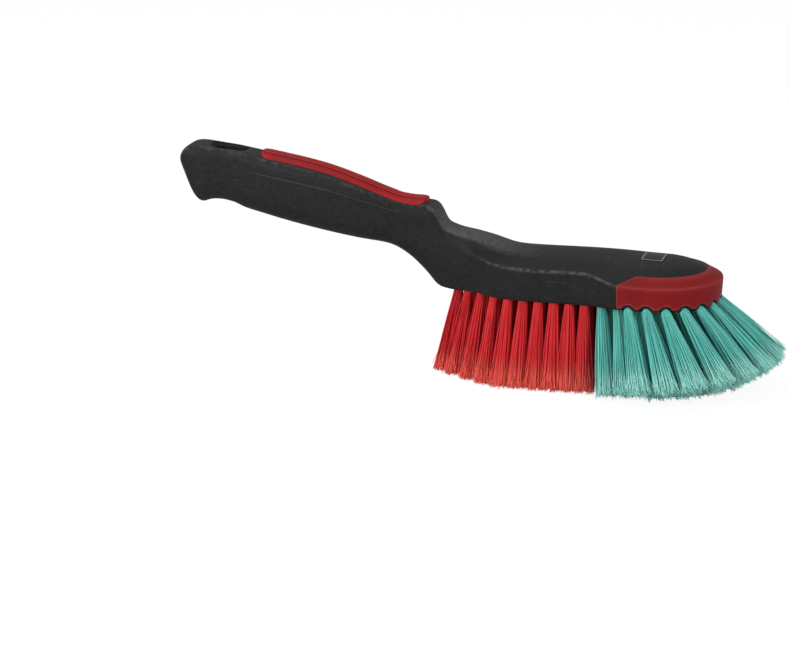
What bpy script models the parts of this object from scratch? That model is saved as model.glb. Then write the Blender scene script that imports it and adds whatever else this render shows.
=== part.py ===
"""Hand brush: a one-piece moulded handle and head with a soft grip, a nose bumper and tufts.

While it is being shaped, X runs to the nose from the head's rear lower corner, Y is across
and Z is up from the drilled underside of the head. At the end everything is moved so that the
origin is under the middle of the object, on the plane of the bristle tips.
"""
import math

import bmesh
import bpy
import numpy as np
from mathutils import Matrix

# Moulded body.
HANDLE_LENGTH = 0.1447
HANDLE_HALF_WIDTH = 0.0131
HANDLE_HEIGHT = 0.07
HEAD_LENGTH = 0.1436
HEAD_HALF_WIDTH = 0.0332
HEAD_HEIGHT = 0.0237
WALL_HEIGHT = 0.0125
WALL_TAPER = 0.0009
BEVEL_WIDTH = 0.008
BEVEL_HEIGHT = 0.0042
EDGE_SOFTNESS = 0.0006
HANDLE_SQUARENESS = 3.4

# Hang hole in the handle's end.
HANG_HOLE_LENGTH = 0.0176
HANG_HOLE_WIDTH = 0.0124
HANG_HOLE_CORNER = 0.003
HANG_HOLE_FLARE = 0.0013
HANG_HOLE_PLACE_SHARE = -0.817

# Soft grip let into the top of the handle.
GRIP_LENGTH = 0.0884
GRIP_HALF_WIDTH = 0.0086
GRIP_END_LENGTH = 0.0135
GRIP_PROUD = 0.0023
GRIP_DEPTH = 0.0042
GRIP_CROWN = 0.0024
GRIP_GROOVE = 0.0007
GRIP_PLACE_SHARE = -0.3816
GRIP_EDGE_SHARE = 0.28
GRIP_END_PROUD_SHARE = 0.35
GRIP_BLUNT_SHARE = 0.985
GRIP_STATIONS = 26

# Soft bumper round the nose.
BUMPER_LENGTH = 0.0152
BUMPER_THICKNESS = 0.0021
BUMPER_FOOT = 0.0008
BUMPER_SLANT = 0.0095
BUMPER_EDGE_SLANT_SHARE = 0.05
BUMPER_STATIONS = 45

# Tufts and the slices of backing that carry them.
BRISTLE_DROP = 0.0455
TRIM_HALF_FLAT = 0.02
TRIM_RADIUS = 0.068
FIRST_ROW_SHARE = 0.04076
LAST_ROW_SHARE = 0.76183
TUFT_NECK = 0.0022
BACKING_DEPTH = 0.004
COLLAR_DEPTH = 0.0047
COLLAR_BAR_WALL = 0.0002
FAN_REACH = 0.034
FAN_START_SHARE = 0.5
FAN_POWER = 1.3
REAR_LEAN = 0.0096
REAR_POWER = 1.5
RED_SPREAD_SHARE = 0.22
NOSE_SPREAD_SHARE = 0.72
STRANDS = 5
BAR_END_STEPS = 7
DISC_SIDES = 14
STRAND_TIP_SHARE = 0.6

# A tuft root's radius as a share of the mean tuft spacing in the rows and of the distance
# between the rings, then other sizes as shares of that radius: the tip's circle, the
# backing's half width, the collar's radius and the half width of the bar joining collars.
ROW_ROOT_SHARE = 0.3168
RING_ROOT_SHARE = 0.3362
TIP_SHARE = 1.042
BACKING_SHARE = 1.1
COLLAR_SHARE = 1.375
COLLAR_BAR_SHARE = 0.5

# Clearances.
SEAT_GAP = 0.0003
CUT_MARGIN = 0.004
MERGE_DISTANCE = 0.000001
FLATNESS = 0.0000001
SHARP_ANGLE = 32

# Ring of the handle: angle of each point from the underside to the top, in degrees.
HANDLE_RING_ANGLES = (-90, -76, -62, -46, -32, -18, -4, 6, 18, 28, 38, 48, 58, 68, 77, 84, 90)
# Crown of the head: points from the bevel to the middle, as shares of the crown's half width.
CROWN_SHARES = (0.86, 0.7, 0.54, 0.38, 0.24, 0.11, 0.0)

# Handle end: underside x and z, top x and z, half width, as shares of the handle's sizes.
END_RING_SHARES = (
    (-0.9370, 0.618, -0.9900, 0.856, 0.600),
    (-0.9310, 0.587, -0.9870, 0.902, 0.720),
    (-0.9230, 0.562, -0.9770, 0.942, 0.775),
    (-0.9140, 0.546, -0.9590, 0.975, 0.808),
    (-0.9010, 0.542, -0.9340, 0.990, 0.824),
    (-0.8850, 0.553, -0.9040, 0.987, 0.820),
    (-0.8680, 0.563, -0.8760, 0.981, 0.806),
)
# Handle and neck: x as a share of the handle length, then underside z, top z, half width.
HANDLE_SHARES = (
    (-0.845, 0.566, 0.974, 0.792),
    (-0.815, 0.562, 0.968, 0.782),
    (-0.780, 0.540, 0.959, 0.785),
    (-0.740, 0.506, 0.944, 0.812),
    (-0.690, 0.485, 0.924, 0.862),
    (-0.640, 0.459, 0.907, 0.912),
    (-0.590, 0.436, 0.889, 0.953),
    (-0.530, 0.410, 0.867, 0.983),
    (-0.470, 0.386, 0.841, 0.998),
    (-0.410, 0.364, 0.808, 1.000),
    (-0.350, 0.344, 0.768, 0.985),
    (-0.300, 0.329, 0.733, 0.954),
    (-0.250, 0.320, 0.695, 0.908),
    (-0.210, 0.308, 0.667, 0.865),
    (-0.180, 0.287, 0.647, 0.838),
    (-0.150, 0.251, 0.637, 0.815),
    (-0.120, 0.206, 0.632, 0.800),
    (-0.095, 0.157, 0.632, 0.792),
    (-0.072, 0.108, 0.628, 0.787),
    (-0.055, 0.069, 0.623, 0.785),
    (-0.042, 0.032, 0.615, 0.785),
    (-0.030, 0.010, 0.591, 0.787),
)
# Head: x as a share of the head length, then top z, half width and how far the section has
# turned from the handle's oval into the head's walls, below the crease and above it.
HEAD_SHARES = (
    (-0.0181, 1.560, 0.311, 0.35, 0.00),
    (-0.0060, 1.436, 0.313, 0.65, 0.00),
    (0.0125, 1.408, 0.317, 0.85, 0.00),
    (0.0330, 1.366, 0.326, 1.00, 0.02),
    (0.0553, 1.325, 0.342, 1.00, 0.06),
    (0.0855, 1.291, 0.375, 1.00, 0.14),
    (0.1126, 1.260, 0.420, 1.00, 0.27),
    (0.1388, 1.224, 0.485, 1.00, 0.45),
    (0.1629, 1.184, 0.569, 1.00, 0.66),
    (0.1870, 1.142, 0.653, 1.00, 0.85),
    (0.2112, 1.098, 0.720, 1.00, 0.96),
    (0.2373, 1.046, 0.766, 1.00, 1.00),
    (0.2665, 1.010, 0.793, 1.00, 1.00),
    (0.3117, 1.000, 0.811, 1.00, 1.00),
    (0.3821, 1.000, 0.821, 1.00, 1.00),
    (0.4626, 1.003, 0.825, 1.00, 1.00),
    (0.5329, 1.003, 0.832, 1.00, 1.00),
    (0.5611, 1.001, 0.848, 1.00, 1.00),
    (0.5852, 0.997, 0.879, 1.00, 1.00),
    (0.6094, 0.990, 0.924, 1.00, 1.00),
    (0.6335, 0.982, 0.963, 1.00, 1.00),
    (0.6576, 0.972, 0.988, 1.00, 1.00),
    (0.6838, 0.960, 0.998, 1.00, 1.00),
    (0.7139, 0.949, 1.000, 1.00, 1.00),
    (0.7697, 0.934, 1.000, 1.00, 1.00),
)
CREASE_POINT = 6
NOSE_STEPS = 28

# Grip: points across its top, as shares of its half width and of its grooves' depth.
GRIP_ACROSS_SHARES = (
    (-0.93, 0.0), (-0.70, 0.0), (-0.64, 1.0), (-0.56, 1.0), (-0.50, 0.0), (-0.30, 0.0),
    (-0.24, 1.0), (-0.16, 1.0), (-0.10, 0.0), (0.10, 0.0), (0.16, 1.0), (0.24, 1.0),
    (0.30, 0.0), (0.50, 0.0), (0.56, 1.0), (0.64, 1.0), (0.70, 0.0), (0.93, 0.0),
)

# Red tufts: each row's place along, as a share of the way from the first row to the last, and
# its tufts' places across, as shares of the head's half width.
RED_ROW_SHARES = (
    (0.000, (0.0,)),
    (0.101, (-0.195, 0.195)),
    (0.202, (-0.365, 0.0, 0.365)),
    (0.303, (-0.540, -0.205, 0.205, 0.540)),
    (0.404, (-0.659, -0.420, -0.149, 0.149, 0.420, 0.659)),
    (0.505, (-0.678, -0.429, -0.149, 0.149, 0.429, 0.678)),
    (0.606, (-0.681, -0.429, -0.149, 0.149, 0.429, 0.681)),
    (0.707, (-0.681, -0.429, -0.149, 0.149, 0.429, 0.681)),
    (0.808, (-0.681, -0.429, -0.149, 0.149, 0.429, 0.681)),
    (0.909, (-0.681, -0.429, -0.149, 0.149, 0.429, 0.681)),
    (1.000, (-0.376, 0.0, 0.376)),
)
# Red columns in the nose: places along, as shares of the way from the last row to the front
# of the inner ring, and across, in head half widths.
RED_COLUMN_SHARES = {
    "left": ((0.1866, 0.241), (0.3780, 0.241), (0.5689, 0.241), (0.7364, 0.217)),
    "centre": ((0.2939, 0.0), (0.5092, 0.0), (0.8086, 0.0)),
    "right": ((0.1866, -0.241), (0.3780, -0.241), (0.5689, -0.241), (0.7364, -0.217)),
}
# Teal rings: radius in head half widths, rear end as a share of the same way, tufts in all and
# tufts in a side piece.
TEAL_RING_SHARES = {
    "inner": (0.467, 0.1509, 10, 3),
    "middle": (0.681, 0.0071, 13, 4),
    "outer": (0.897, 0.4043, 13, 4),
}

COLOURS = {
    "body_plastic": (0.024, 0.024, 0.026),
    "soft_red": (0.33, 0.016, 0.02),
    "bristle_red": (0.48, 0.015, 0.024),
    "bristle_teal": (0.07, 0.38, 0.31),
}
ROUGHNESS = {"body_plastic": 0.5, "soft_red": 0.6, "bristle_red": 0.7, "bristle_teal": 0.7}

NOSE_CENTRE = HEAD_LENGTH - HEAD_HALF_WIDTH
FIRST_ROW = FIRST_ROW_SHARE * NOSE_CENTRE
LAST_ROW = LAST_ROW_SHARE * NOSE_CENTRE
NOSE_RUN = NOSE_CENTRE + TEAL_RING_SHARES["inner"][0] * HEAD_HALF_WIDTH - LAST_ROW
ROW_PITCH = RED_ROW_SHARES[1][0] * (LAST_ROW - FIRST_ROW)
RING_PITCH = (TEAL_RING_SHARES["outer"][0] - TEAL_RING_SHARES["inner"][0]) / 2 * HEAD_HALF_WIDTH
ROW_ROOT_RADIUS = ROW_ROOT_SHARE * math.sqrt(ROW_PITCH * RING_PITCH)
RING_ROOT_RADIUS = RING_ROOT_SHARE * RING_PITCH
HANG_HOLE_PLACE = HANG_HOLE_PLACE_SHARE * HANDLE_LENGTH
GRIP_PLACE = GRIP_PLACE_SHARE * HANDLE_LENGTH
HANDLE_X = np.array([row[0] for row in HANDLE_SHARES]) * HANDLE_LENGTH
HANDLE_UNDERSIDE = np.array([row[1] for row in HANDLE_SHARES]) * HANDLE_HEIGHT
HANDLE_TOP = np.array([row[2] for row in HANDLE_SHARES]) * HANDLE_HEIGHT
HEAD_X = np.array([row[0] for row in HEAD_SHARES]) * HEAD_LENGTH
HEAD_WIDTH = np.array([row[2] for row in HEAD_SHARES]) * HEAD_HALF_WIDTH


def clear_scene():
    """Remove the objects of the starting scene."""
    for item in list(bpy.data.objects):
        bpy.data.objects.remove(item, do_unlink=True)


def new_collection(name):
    """Add a collection to the scene."""
    collection = bpy.data.collections.new(name)
    bpy.context.scene.collection.children.link(collection)
    return collection


def new_material(name, slot):
    """Make one Principled material for one node, in its slot's colour."""
    material = bpy.data.materials.new(name)
    material.use_nodes = True
    shader = material.node_tree.nodes["Principled BSDF"]
    shader.inputs["Base Color"].default_value = (*COLOURS[slot], 1.0)
    shader.inputs["Roughness"].default_value = ROUGHNESS[slot]
    return material


def is_warped(face):
    """Whether a face's corners lie off its own plane, which a clean cut can't have."""
    face.normal_update()
    start = face.verts[0].co
    return any(abs((vertex.co - start).dot(face.normal)) > FLATNESS for vertex in face.verts)


def finish_mesh(name, mesh_data, collection):
    """Weld the bmesh, split its warped faces and put it in a collection as an object."""
    bmesh.ops.remove_doubles(mesh_data, verts=mesh_data.verts, dist=MERGE_DISTANCE)
    warped = [face for face in mesh_data.faces if len(face.verts) > 3 and is_warped(face)]
    bmesh.ops.triangulate(mesh_data, faces=warped)
    bmesh.ops.recalc_face_normals(mesh_data, faces=mesh_data.faces)
    mesh = bpy.data.meshes.new(name)
    mesh_data.to_mesh(mesh)
    mesh_data.free()
    item = bpy.data.objects.new(name, mesh)
    collection.objects.link(item)
    return item


def add_grid(mesh_data, points):
    """Add the quads of a grid of points, given as rows by columns by xyz."""
    rows, columns = points.shape[:2]
    verts = [[mesh_data.verts.new(points[i, j]) for j in range(columns)] for i in range(rows)]
    for i in range(rows - 1):
        for j in range(columns - 1):
            mesh_data.faces.new(
                (verts[i][j], verts[i + 1][j], verts[i + 1][j + 1], verts[i][j + 1]))
    return verts


def add_tube(mesh_data, rings):
    """Add a closed tube through rings of points and cap both ends."""
    rings = np.asarray(rings)
    closed = np.concatenate([rings, rings[:, :1]], axis=1)
    verts = add_grid(mesh_data, closed)
    mesh_data.faces.new(verts[0][:-1])
    mesh_data.faces.new(verts[-1][:-1])


def through(xs, ys, at):
    """Cubic curve through a table whose steps never overshoot its own values."""
    xs, ys = np.asarray(xs, float), np.asarray(ys, float)
    step = np.diff(xs)
    slope = np.diff(ys) / step
    before, after = slope[:-1], slope[1:]
    same = before * after > 0.0
    inner = np.where(same, 2.0 * before * after / np.where(same, before + after, 1.0), 0.0)
    tangent = np.concatenate([slope[:1], inner, slope[-1:]])
    at = np.clip(np.asarray(at, float), xs[0], xs[-1])
    k = np.clip(np.searchsorted(xs, at, side="right") - 1, 0, len(step) - 1)
    t = (at - xs[k]) / step[k]
    return (ys[k] * (1 + 2 * t) * (1 - t) ** 2 + ys[k + 1] * t * t * (3 - 2 * t)
            + step[k] * (tangent[k] * t * (1 - t) ** 2 + tangent[k + 1] * t * t * (t - 1)))


def oval_half(half_width, bottom, top):
    """Half of the handle's section, from the underside's middle to the top's middle."""
    angle = np.radians(HANDLE_RING_ANGLES)
    power = 2.0 / HANDLE_SQUARENESS
    out = half_width * np.abs(np.cos(angle)) ** power
    out[[0, -1]] = 0.0
    height = (top + bottom) / 2 + (top - bottom) / 2 * np.sign(np.sin(angle)) * np.abs(
        np.sin(angle)) ** power
    return np.column_stack([out, height])


def walled_half(half_width, top):
    """Half of the head's section: flat underside, wall, bevel and crowned top."""
    foot = half_width - WALL_TAPER
    shelf = half_width - BEVEL_WIDTH
    ledge = WALL_HEIGHT + BEVEL_HEIGHT
    points = [
        (0.0, 0.0), (foot * 0.4, 0.0), (foot * 0.75, 0.0), (foot - EDGE_SOFTNESS, 0.0),
        (foot, EDGE_SOFTNESS), ((foot + half_width) / 2, WALL_HEIGHT / 2),
        (half_width, WALL_HEIGHT - EDGE_SOFTNESS),
        (half_width - EDGE_SOFTNESS, WALL_HEIGHT + EDGE_SOFTNESS / 4),
        (shelf + EDGE_SOFTNESS, ledge - EDGE_SOFTNESS / 2),
        (shelf - EDGE_SOFTNESS, ledge),
    ]
    points += [(shelf * share, top - (top - ledge) * share ** 2) for share in CROWN_SHARES]
    return np.array(points)


def body_section(shares):
    """Place and half section of one ring of the head, turned in from the neck's oval."""
    along, top_share, width_share, turned_below, turned_above = shares
    top = top_share * HEAD_HEIGHT
    half_width = width_share * HEAD_HALF_WIDTH
    oval = oval_half(half_width, 0.0, top)
    below = np.arange(len(oval)) <= CREASE_POINT
    turned = np.where(below, turned_below, turned_above)[:, None]
    return along * HEAD_LENGTH, oval + (walled_half(half_width, top) - oval) * turned


def full_ring(half, x_bottom, x_top):
    """Whole ring from a half section, leaning from x_bottom at its foot to x_top at its top."""
    out, height = half[:, 0], half[:, 1]
    low, high = height.min(), height.max()
    x = x_bottom + (x_top - x_bottom) * (height - low) / (high - low)
    near = np.column_stack([x, out, height])
    far = np.column_stack([x, -out, height])[-2:0:-1]
    return np.concatenate([near, far])


def build_body(collection):
    """Loft the handle, neck and head and turn the section round the nose."""
    rings = []
    for x_low, z_low, x_high, z_high, width in END_RING_SHARES:
        half = oval_half(width * HANDLE_HALF_WIDTH, z_low * HANDLE_HEIGHT, z_high * HANDLE_HEIGHT)
        rings.append(full_ring(half, x_low * HANDLE_LENGTH, x_high * HANDLE_LENGTH))
    for along, z_low, z_high, width in HANDLE_SHARES:
        half = oval_half(width * HANDLE_HALF_WIDTH, z_low * HANDLE_HEIGHT, z_high * HANDLE_HEIGHT)
        rings.append(full_ring(half, along * HANDLE_LENGTH, along * HANDLE_LENGTH))
    for row in HEAD_SHARES[:-1]:
        along, half = body_section(row)
        rings.append(full_ring(half, along, along))
    _, half = body_section(HEAD_SHARES[-1])
    rings.append(full_ring(half, NOSE_CENTRE, NOSE_CENTRE))
    rings = np.array(rings)
    mesh_data = bmesh.new()
    verts = add_grid(mesh_data, np.concatenate([rings, rings[:, :1]], axis=1))
    mesh_data.faces.new(verts[0][:-1])
    turn = np.linspace(math.pi / 2, -math.pi / 2, NOSE_STEPS + 1)[:, None]
    nose = np.stack([NOSE_CENTRE + half[:, 0] * np.cos(turn), half[:, 0] * np.sin(turn),
                     np.broadcast_to(half[:, 1], (NOSE_STEPS + 1, len(half)))], axis=-1)
    add_grid(mesh_data, nose)
    bmesh.ops.remove_doubles(mesh_data, verts=mesh_data.verts, dist=MERGE_DISTANCE)
    flat = [face for face in mesh_data.faces
            if all(abs(vertex.co.z) < MERGE_DISTANCE for vertex in face.verts)]
    bmesh.ops.dissolve_faces(mesh_data, faces=flat)
    return finish_mesh("brush_body", mesh_data, collection)


def grip_rings(swell, floor_drop, top_rise):
    """Rings of the grip or of its pocket, following the handle's top line with round ends."""
    half_length = GRIP_LENGTH / 2 + swell
    turn = np.linspace(0.0, math.pi, GRIP_STATIONS)
    round_off = GRIP_HALF_WIDTH + swell
    x = GRIP_PLACE - half_length * np.cos(turn)
    from_end = half_length - np.abs(x - GRIP_PLACE)
    near_end = np.clip(1.0 - from_end / (GRIP_END_LENGTH + swell), 0.0, GRIP_BLUNT_SHARE)
    half_width = round_off * np.sqrt(1.0 - near_end ** 2)
    line = through(HANDLE_X, HANDLE_TOP, x)
    across = np.array([row[0] for row in GRIP_ACROSS_SHARES])
    groove = np.array([row[1] for row in GRIP_ACROSS_SHARES])
    rings = []
    for place, wide, height in zip(x, half_width, line):
        side = across * wide
        crown = GRIP_CROWN * (side / GRIP_HALF_WIDTH) ** 2
        ends = wide / round_off
        if top_rise is None:
            rise = GRIP_PROUD * (GRIP_END_PROUD_SHARE + (1.0 - GRIP_END_PROUD_SHARE) * ends)
            top = height + rise - crown - groove * GRIP_GROOVE * ends
            edge = top[0] - GRIP_EDGE_SHARE * (GRIP_PROUD + GRIP_CROWN)
        else:
            top = np.full_like(side, height + top_rise)
            edge = height + top_rise
        floor = height - floor_drop
        top_points = np.column_stack([np.full_like(side, place), side, top])
        rings.append(np.concatenate([
            [(place, -wide, floor), (place, -wide, edge)], top_points,
            [(place, wide, edge), (place, wide, floor)]]))
    return rings


def build_grip(collection):
    """Soft grip: a crowned strip with lengthwise grooves."""
    mesh_data = bmesh.new()
    add_tube(mesh_data, grip_rings(0.0, GRIP_DEPTH, None))
    return finish_mesh("soft_grip", mesh_data, collection)


def build_grip_pocket(collection):
    """Cutter for the pocket the grip is let into."""
    mesh_data = bmesh.new()
    add_tube(mesh_data, grip_rings(SEAT_GAP, GRIP_DEPTH + SEAT_GAP, CUT_MARGIN))
    return finish_mesh("grip_pocket_cutter", mesh_data, collection)


def nose_outline():
    """Outline of one side of the head from the nose's tip to behind the bumper."""
    turn = np.linspace(0.0, math.pi / 2, 31)
    arc = np.column_stack([NOSE_CENTRE + HEAD_HALF_WIDTH * np.cos(turn),
                           HEAD_HALF_WIDTH * np.sin(turn), np.cos(turn), np.sin(turn)])
    x = np.linspace(NOSE_CENTRE, NOSE_CENTRE - 2 * BUMPER_LENGTH, 41)[1:]
    width = through(HEAD_X, HEAD_WIDTH, x)
    slope = np.gradient(width, x)
    size = np.sqrt(1.0 + slope ** 2)
    side = np.column_stack([x, width, -slope / size, 1.0 / size])
    outline = np.concatenate([arc, side])
    run = np.concatenate([[0.0], np.cumsum(np.hypot(*np.diff(outline[:, :2], axis=0).T))])
    return outline, run


def bumper_sweep(profile, extra):
    """Sweep (inset, height, slant share) points round the nose between the bumper's ends."""
    outline, run = nose_outline()
    half_run = np.interp(NOSE_CENTRE - BUMPER_LENGTH, outline[::-1, 0], run[::-1]) + extra
    share = np.linspace(-1.0, 1.0, BUMPER_STATIONS)
    rings = []
    for place in share:
        ring = []
        for inset, height, slant in profile:
            reach = abs(place) * (half_run - slant * BUMPER_SLANT)
            x, y, out_x, out_y = (np.interp(reach, run, outline[:, k]) for k in range(4))
            side = 1.0 if place >= 0.0 else -1.0
            ring.append((x - inset * out_x, side * (y - inset * out_y), height))
        rings.append(ring)
    return rings


def build_bumper(collection):
    """Soft bumper: wall and bevel of the nose in one strip, sheared at both ends."""
    ledge = WALL_HEIGHT + BEVEL_HEIGHT
    skin = BUMPER_THICKNESS
    low_slant = BUMPER_EDGE_SLANT_SHARE
    profile = (
        (WALL_TAPER, BUMPER_FOOT + SEAT_GAP, 0.0),
        (0.0, WALL_HEIGHT - EDGE_SOFTNESS, 0.0),
        (EDGE_SOFTNESS, WALL_HEIGHT + EDGE_SOFTNESS / 4, low_slant),
        (BEVEL_WIDTH - EDGE_SOFTNESS, ledge, 1.0 - low_slant),
        (BEVEL_WIDTH, ledge - EDGE_SOFTNESS, 1.0),
        (BEVEL_WIDTH, ledge - skin, 1.0),
        (skin, WALL_HEIGHT - skin, low_slant),
        (skin + WALL_TAPER, BUMPER_FOOT + SEAT_GAP, 0.0),
    )
    mesh_data = bmesh.new()
    add_tube(mesh_data, bumper_sweep(profile, 0.0))
    return finish_mesh("front_bumper", mesh_data, collection)


def build_bumper_rebate(collection):
    """Cutter for the rebate the bumper sits in."""
    ledge = WALL_HEIGHT + BEVEL_HEIGHT
    skin = BUMPER_THICKNESS + SEAT_GAP
    low_slant = BUMPER_EDGE_SLANT_SHARE
    profile = (
        (-CUT_MARGIN, BUMPER_FOOT, 0.0),
        (-CUT_MARGIN, ledge + CUT_MARGIN, 0.0),
        (0.0, ledge + CUT_MARGIN, 0.0),
        (BEVEL_WIDTH + SEAT_GAP, ledge + CUT_MARGIN, 1.0),
        (BEVEL_WIDTH + SEAT_GAP, ledge - skin, 1.0),
        (skin, WALL_HEIGHT - skin, low_slant),
        (skin + WALL_TAPER, BUMPER_FOOT, 0.0),
    )
    mesh_data = bmesh.new()
    add_tube(mesh_data, bumper_sweep(profile, SEAT_GAP))
    return finish_mesh("bumper_rebate_cutter", mesh_data, collection)


def rounded_rectangle(length, width, corner, steps):
    """Corner points of a rounded rectangle about its centre."""
    turn = np.linspace(0.0, math.pi / 2, steps + 1)
    quarter = np.column_stack([np.cos(turn), np.sin(turn)]) * corner
    centre = np.array([length / 2 - corner, width / 2 - corner])
    points = []
    for quadrant, sign in enumerate(((1, 1), (-1, 1), (-1, -1), (1, -1))):
        cos, sin = round(math.cos(quadrant * math.pi / 2)), round(math.sin(quadrant * math.pi / 2))
        turned = quarter @ np.array([[cos, sin], [-sin, cos]])
        points.append(turned + centre * sign)
    return np.concatenate(points)


def build_hang_hole(collection):
    """Cutter for the hang hole, flared at both mouths."""
    flare = HANG_HOLE_FLARE
    ends = HANG_HOLE_PLACE + HANG_HOLE_LENGTH / 2 * np.array((-1.0, 1.0))
    top = through(HANDLE_X, HANDLE_TOP, ends).min()
    bottom = through(HANDLE_X, HANDLE_UNDERSIDE, ends).max()
    levels = (
        (bottom - CUT_MARGIN, flare + CUT_MARGIN), (bottom + flare, 0.0),
        (top - flare, 0.0), (top + CUT_MARGIN, flare + CUT_MARGIN),
    )
    rings = []
    for height, wider in levels:
        outline = rounded_rectangle(HANG_HOLE_LENGTH + 2 * wider, HANG_HOLE_WIDTH + 2 * wider,
                                    HANG_HOLE_CORNER + wider, 5)
        rings.append(np.column_stack([outline[:, 0] + HANG_HOLE_PLACE, outline[:, 1],
                                      np.full(len(outline), height)]))
    mesh_data = bmesh.new()
    add_tube(mesh_data, rings)
    return finish_mesh("hang_hole_cutter", mesh_data, collection)


def add_bar(mesh_data, path, half_width, low, high):
    """Add an upright bar with round ends that follows a level path."""
    path = np.asarray(path, float)
    ahead = np.gradient(path, axis=0)
    ahead /= np.hypot(ahead[:, 0], ahead[:, 1])[:, None]
    left = np.column_stack([-ahead[:, 1], ahead[:, 0]])
    turn = np.linspace(-math.pi / 2, math.pi / 2, BAR_END_STEPS)[:, None]
    nose = path[-1] + half_width * (np.cos(turn) * ahead[-1] + np.sin(turn) * left[-1])
    tail = path[0] - half_width * (np.cos(turn) * ahead[0] + np.sin(turn) * left[0])
    outline = np.concatenate([nose, (path + half_width * left)[-2:0:-1], tail,
                              (path - half_width * left)[1:-1]])
    floor = mesh_data.faces.new([mesh_data.verts.new((*point, low)) for point in outline])
    raised = bmesh.ops.extrude_face_region(mesh_data, geom=[floor], use_keep_orig=True)
    top = [part for part in raised["geom"] if isinstance(part, bmesh.types.BMVert)]
    bmesh.ops.translate(mesh_data, verts=top, vec=(0.0, 0.0, high - low))


def add_disc(mesh_data, place, radius, low, high):
    """Add an upright round disc."""
    centre = Matrix.Translation((*place, (low + high) / 2))
    bmesh.ops.create_cone(mesh_data, cap_ends=True, segments=DISC_SIDES, radius1=radius,
                          radius2=radius, depth=high - low, matrix=centre)


def add_backing(mesh_data, path, half_width, low, high):
    """Add a bar along a path, or a disc where the path is one place."""
    if len(path) == 1:
        add_disc(mesh_data, path[0], half_width, low, high)
    else:
        add_bar(mesh_data, path, half_width, low, high)


def ring_path(radius, straight, along):
    """Points on a U round the nose at distances along it from its left rear end."""
    along = np.asarray(along, float)
    bend = math.pi * radius
    turn = math.pi / 2 - np.clip(along - straight, 0.0, bend) / radius
    back = np.minimum(along - straight, 0.0) - np.maximum(along - straight - bend, 0.0)
    return np.column_stack([NOSE_CENTRE + radius * np.cos(turn) + back, radius * np.sin(turn)])


def tuft_groups():
    """Name, slot, tuft roots, root radius, path of the backing, spread and collar of groups."""
    groups = []
    for number, (along, across) in enumerate(RED_ROW_SHARES, start=1):
        place = FIRST_ROW + along * (LAST_ROW - FIRST_ROW)
        roots = [(place, share * HEAD_HALF_WIDTH) for share in across]
        path = roots if len(roots) == 1 else [roots[0], roots[-1]]
        groups.append((f"red_row_{number:02d}", "bristle_red", roots, ROW_ROOT_RADIUS, path,
                       RED_SPREAD_SHARE, False))
    for side, shares in RED_COLUMN_SHARES.items():
        roots = [(LAST_ROW + a * NOSE_RUN, b * HEAD_HALF_WIDTH) for a, b in shares]
        groups.append((f"red_column_{side}", "bristle_red", roots, RING_ROOT_RADIUS, roots,
                       NOSE_SPREAD_SHARE, False))
    for ring, (radius_share, end, count, side_count) in TEAL_RING_SHARES.items():
        radius = radius_share * HEAD_HALF_WIDTH
        straight = NOSE_CENTRE - LAST_ROW - end * NOSE_RUN
        along = np.linspace(0.0, 2 * straight + math.pi * radius, count)
        ends = (0, side_count, count - side_count, count)
        for side, first, last in zip(("left", "front", "right"), ends[:-1], ends[1:]):
            own = along[first:last]
            path = ring_path(radius, straight, np.linspace(own[0], own[-1], 4 * len(own) - 3))
            groups.append((f"teal_{ring}_ring_{side}", "bristle_teal",
                           ring_path(radius, straight, own), RING_ROOT_RADIUS, path,
                           NOSE_SPREAD_SHARE, ring == "outer"))
    return groups


def trim_height(x, y):
    """Height of the trimmed tips: flat in the middle, rising in an arc to sides and nose."""
    from_middle = math.hypot(max(x - NOSE_CENTRE, 0.0), y)
    past = min(max(from_middle - TRIM_HALF_FLAT, 0.0), TRIM_RADIUS)
    return TRIM_RADIUS - math.sqrt(TRIM_RADIUS ** 2 - past ** 2) - BRISTLE_DROP


def tuft_tip(root, spread):
    """Middle of a tuft's tip: fanned forward in the nose and leaning back at the rear."""
    x, y = root
    start = FAN_START_SHARE * HEAD_LENGTH
    ahead = max(x - start, 0.0) / (HEAD_LENGTH - start)
    behind = max(start - x, 0.0) / (start - FIRST_ROW)
    return np.array([x + FAN_REACH * ahead ** FAN_POWER - REAR_LEAN * behind ** REAR_POWER,
                     y * (1.0 + spread)])


def add_tuft(mesh_data, root, radius, spread):
    """Add one tuft: a five-sided root whose five wedges run on as five strands."""
    root, tip = np.array(root), tuft_tip(root, spread)
    neck = root + (tip - root) / BRISTLE_DROP * TUFT_NECK
    seated = BACKING_DEPTH / 4
    centre = Matrix.Translation((*root, (seated - TUFT_NECK) / 2))
    made = bmesh.ops.create_cone(mesh_data, cap_ends=True, segments=STRANDS,
                                 radius1=radius, radius2=radius,
                                 depth=seated + TUFT_NECK, matrix=centre)
    low = [vertex for vertex in made["verts"] if vertex.co.z < 0.0]
    bmesh.ops.translate(mesh_data, verts=low, vec=(*(neck - root), 0.0))
    cap = [face for face in low[0].link_faces if all(v.co.z < 0.0 for v in face.verts)]
    wedges = bmesh.ops.poke(mesh_data, faces=cap)["faces"]
    strands = bmesh.ops.extrude_discrete_faces(mesh_data, faces=wedges)["faces"]
    for strand in strands:
        corners = np.array([vertex.co[:2] for vertex in strand.verts]) - neck
        middle = corners.mean(axis=0)
        end = tip + middle / np.hypot(*middle) * radius * TIP_SHARE
        for vertex, corner in zip(strand.verts, corners):
            vertex.co = (*(end + (corner - middle) * STRAND_TIP_SHARE), trim_height(*end))


def add_cut(item, cutter, operation):
    """Add an exact Boolean modifier."""
    modifier = item.modifiers.new(cutter.name, "BOOLEAN")
    modifier.operation = operation
    modifier.solver = "EXACT"
    modifier.object = cutter


def hide_tool(item):
    """Show a cutter as wires only."""
    item.hide_render = True
    item.display_type = "WIRE"


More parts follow.
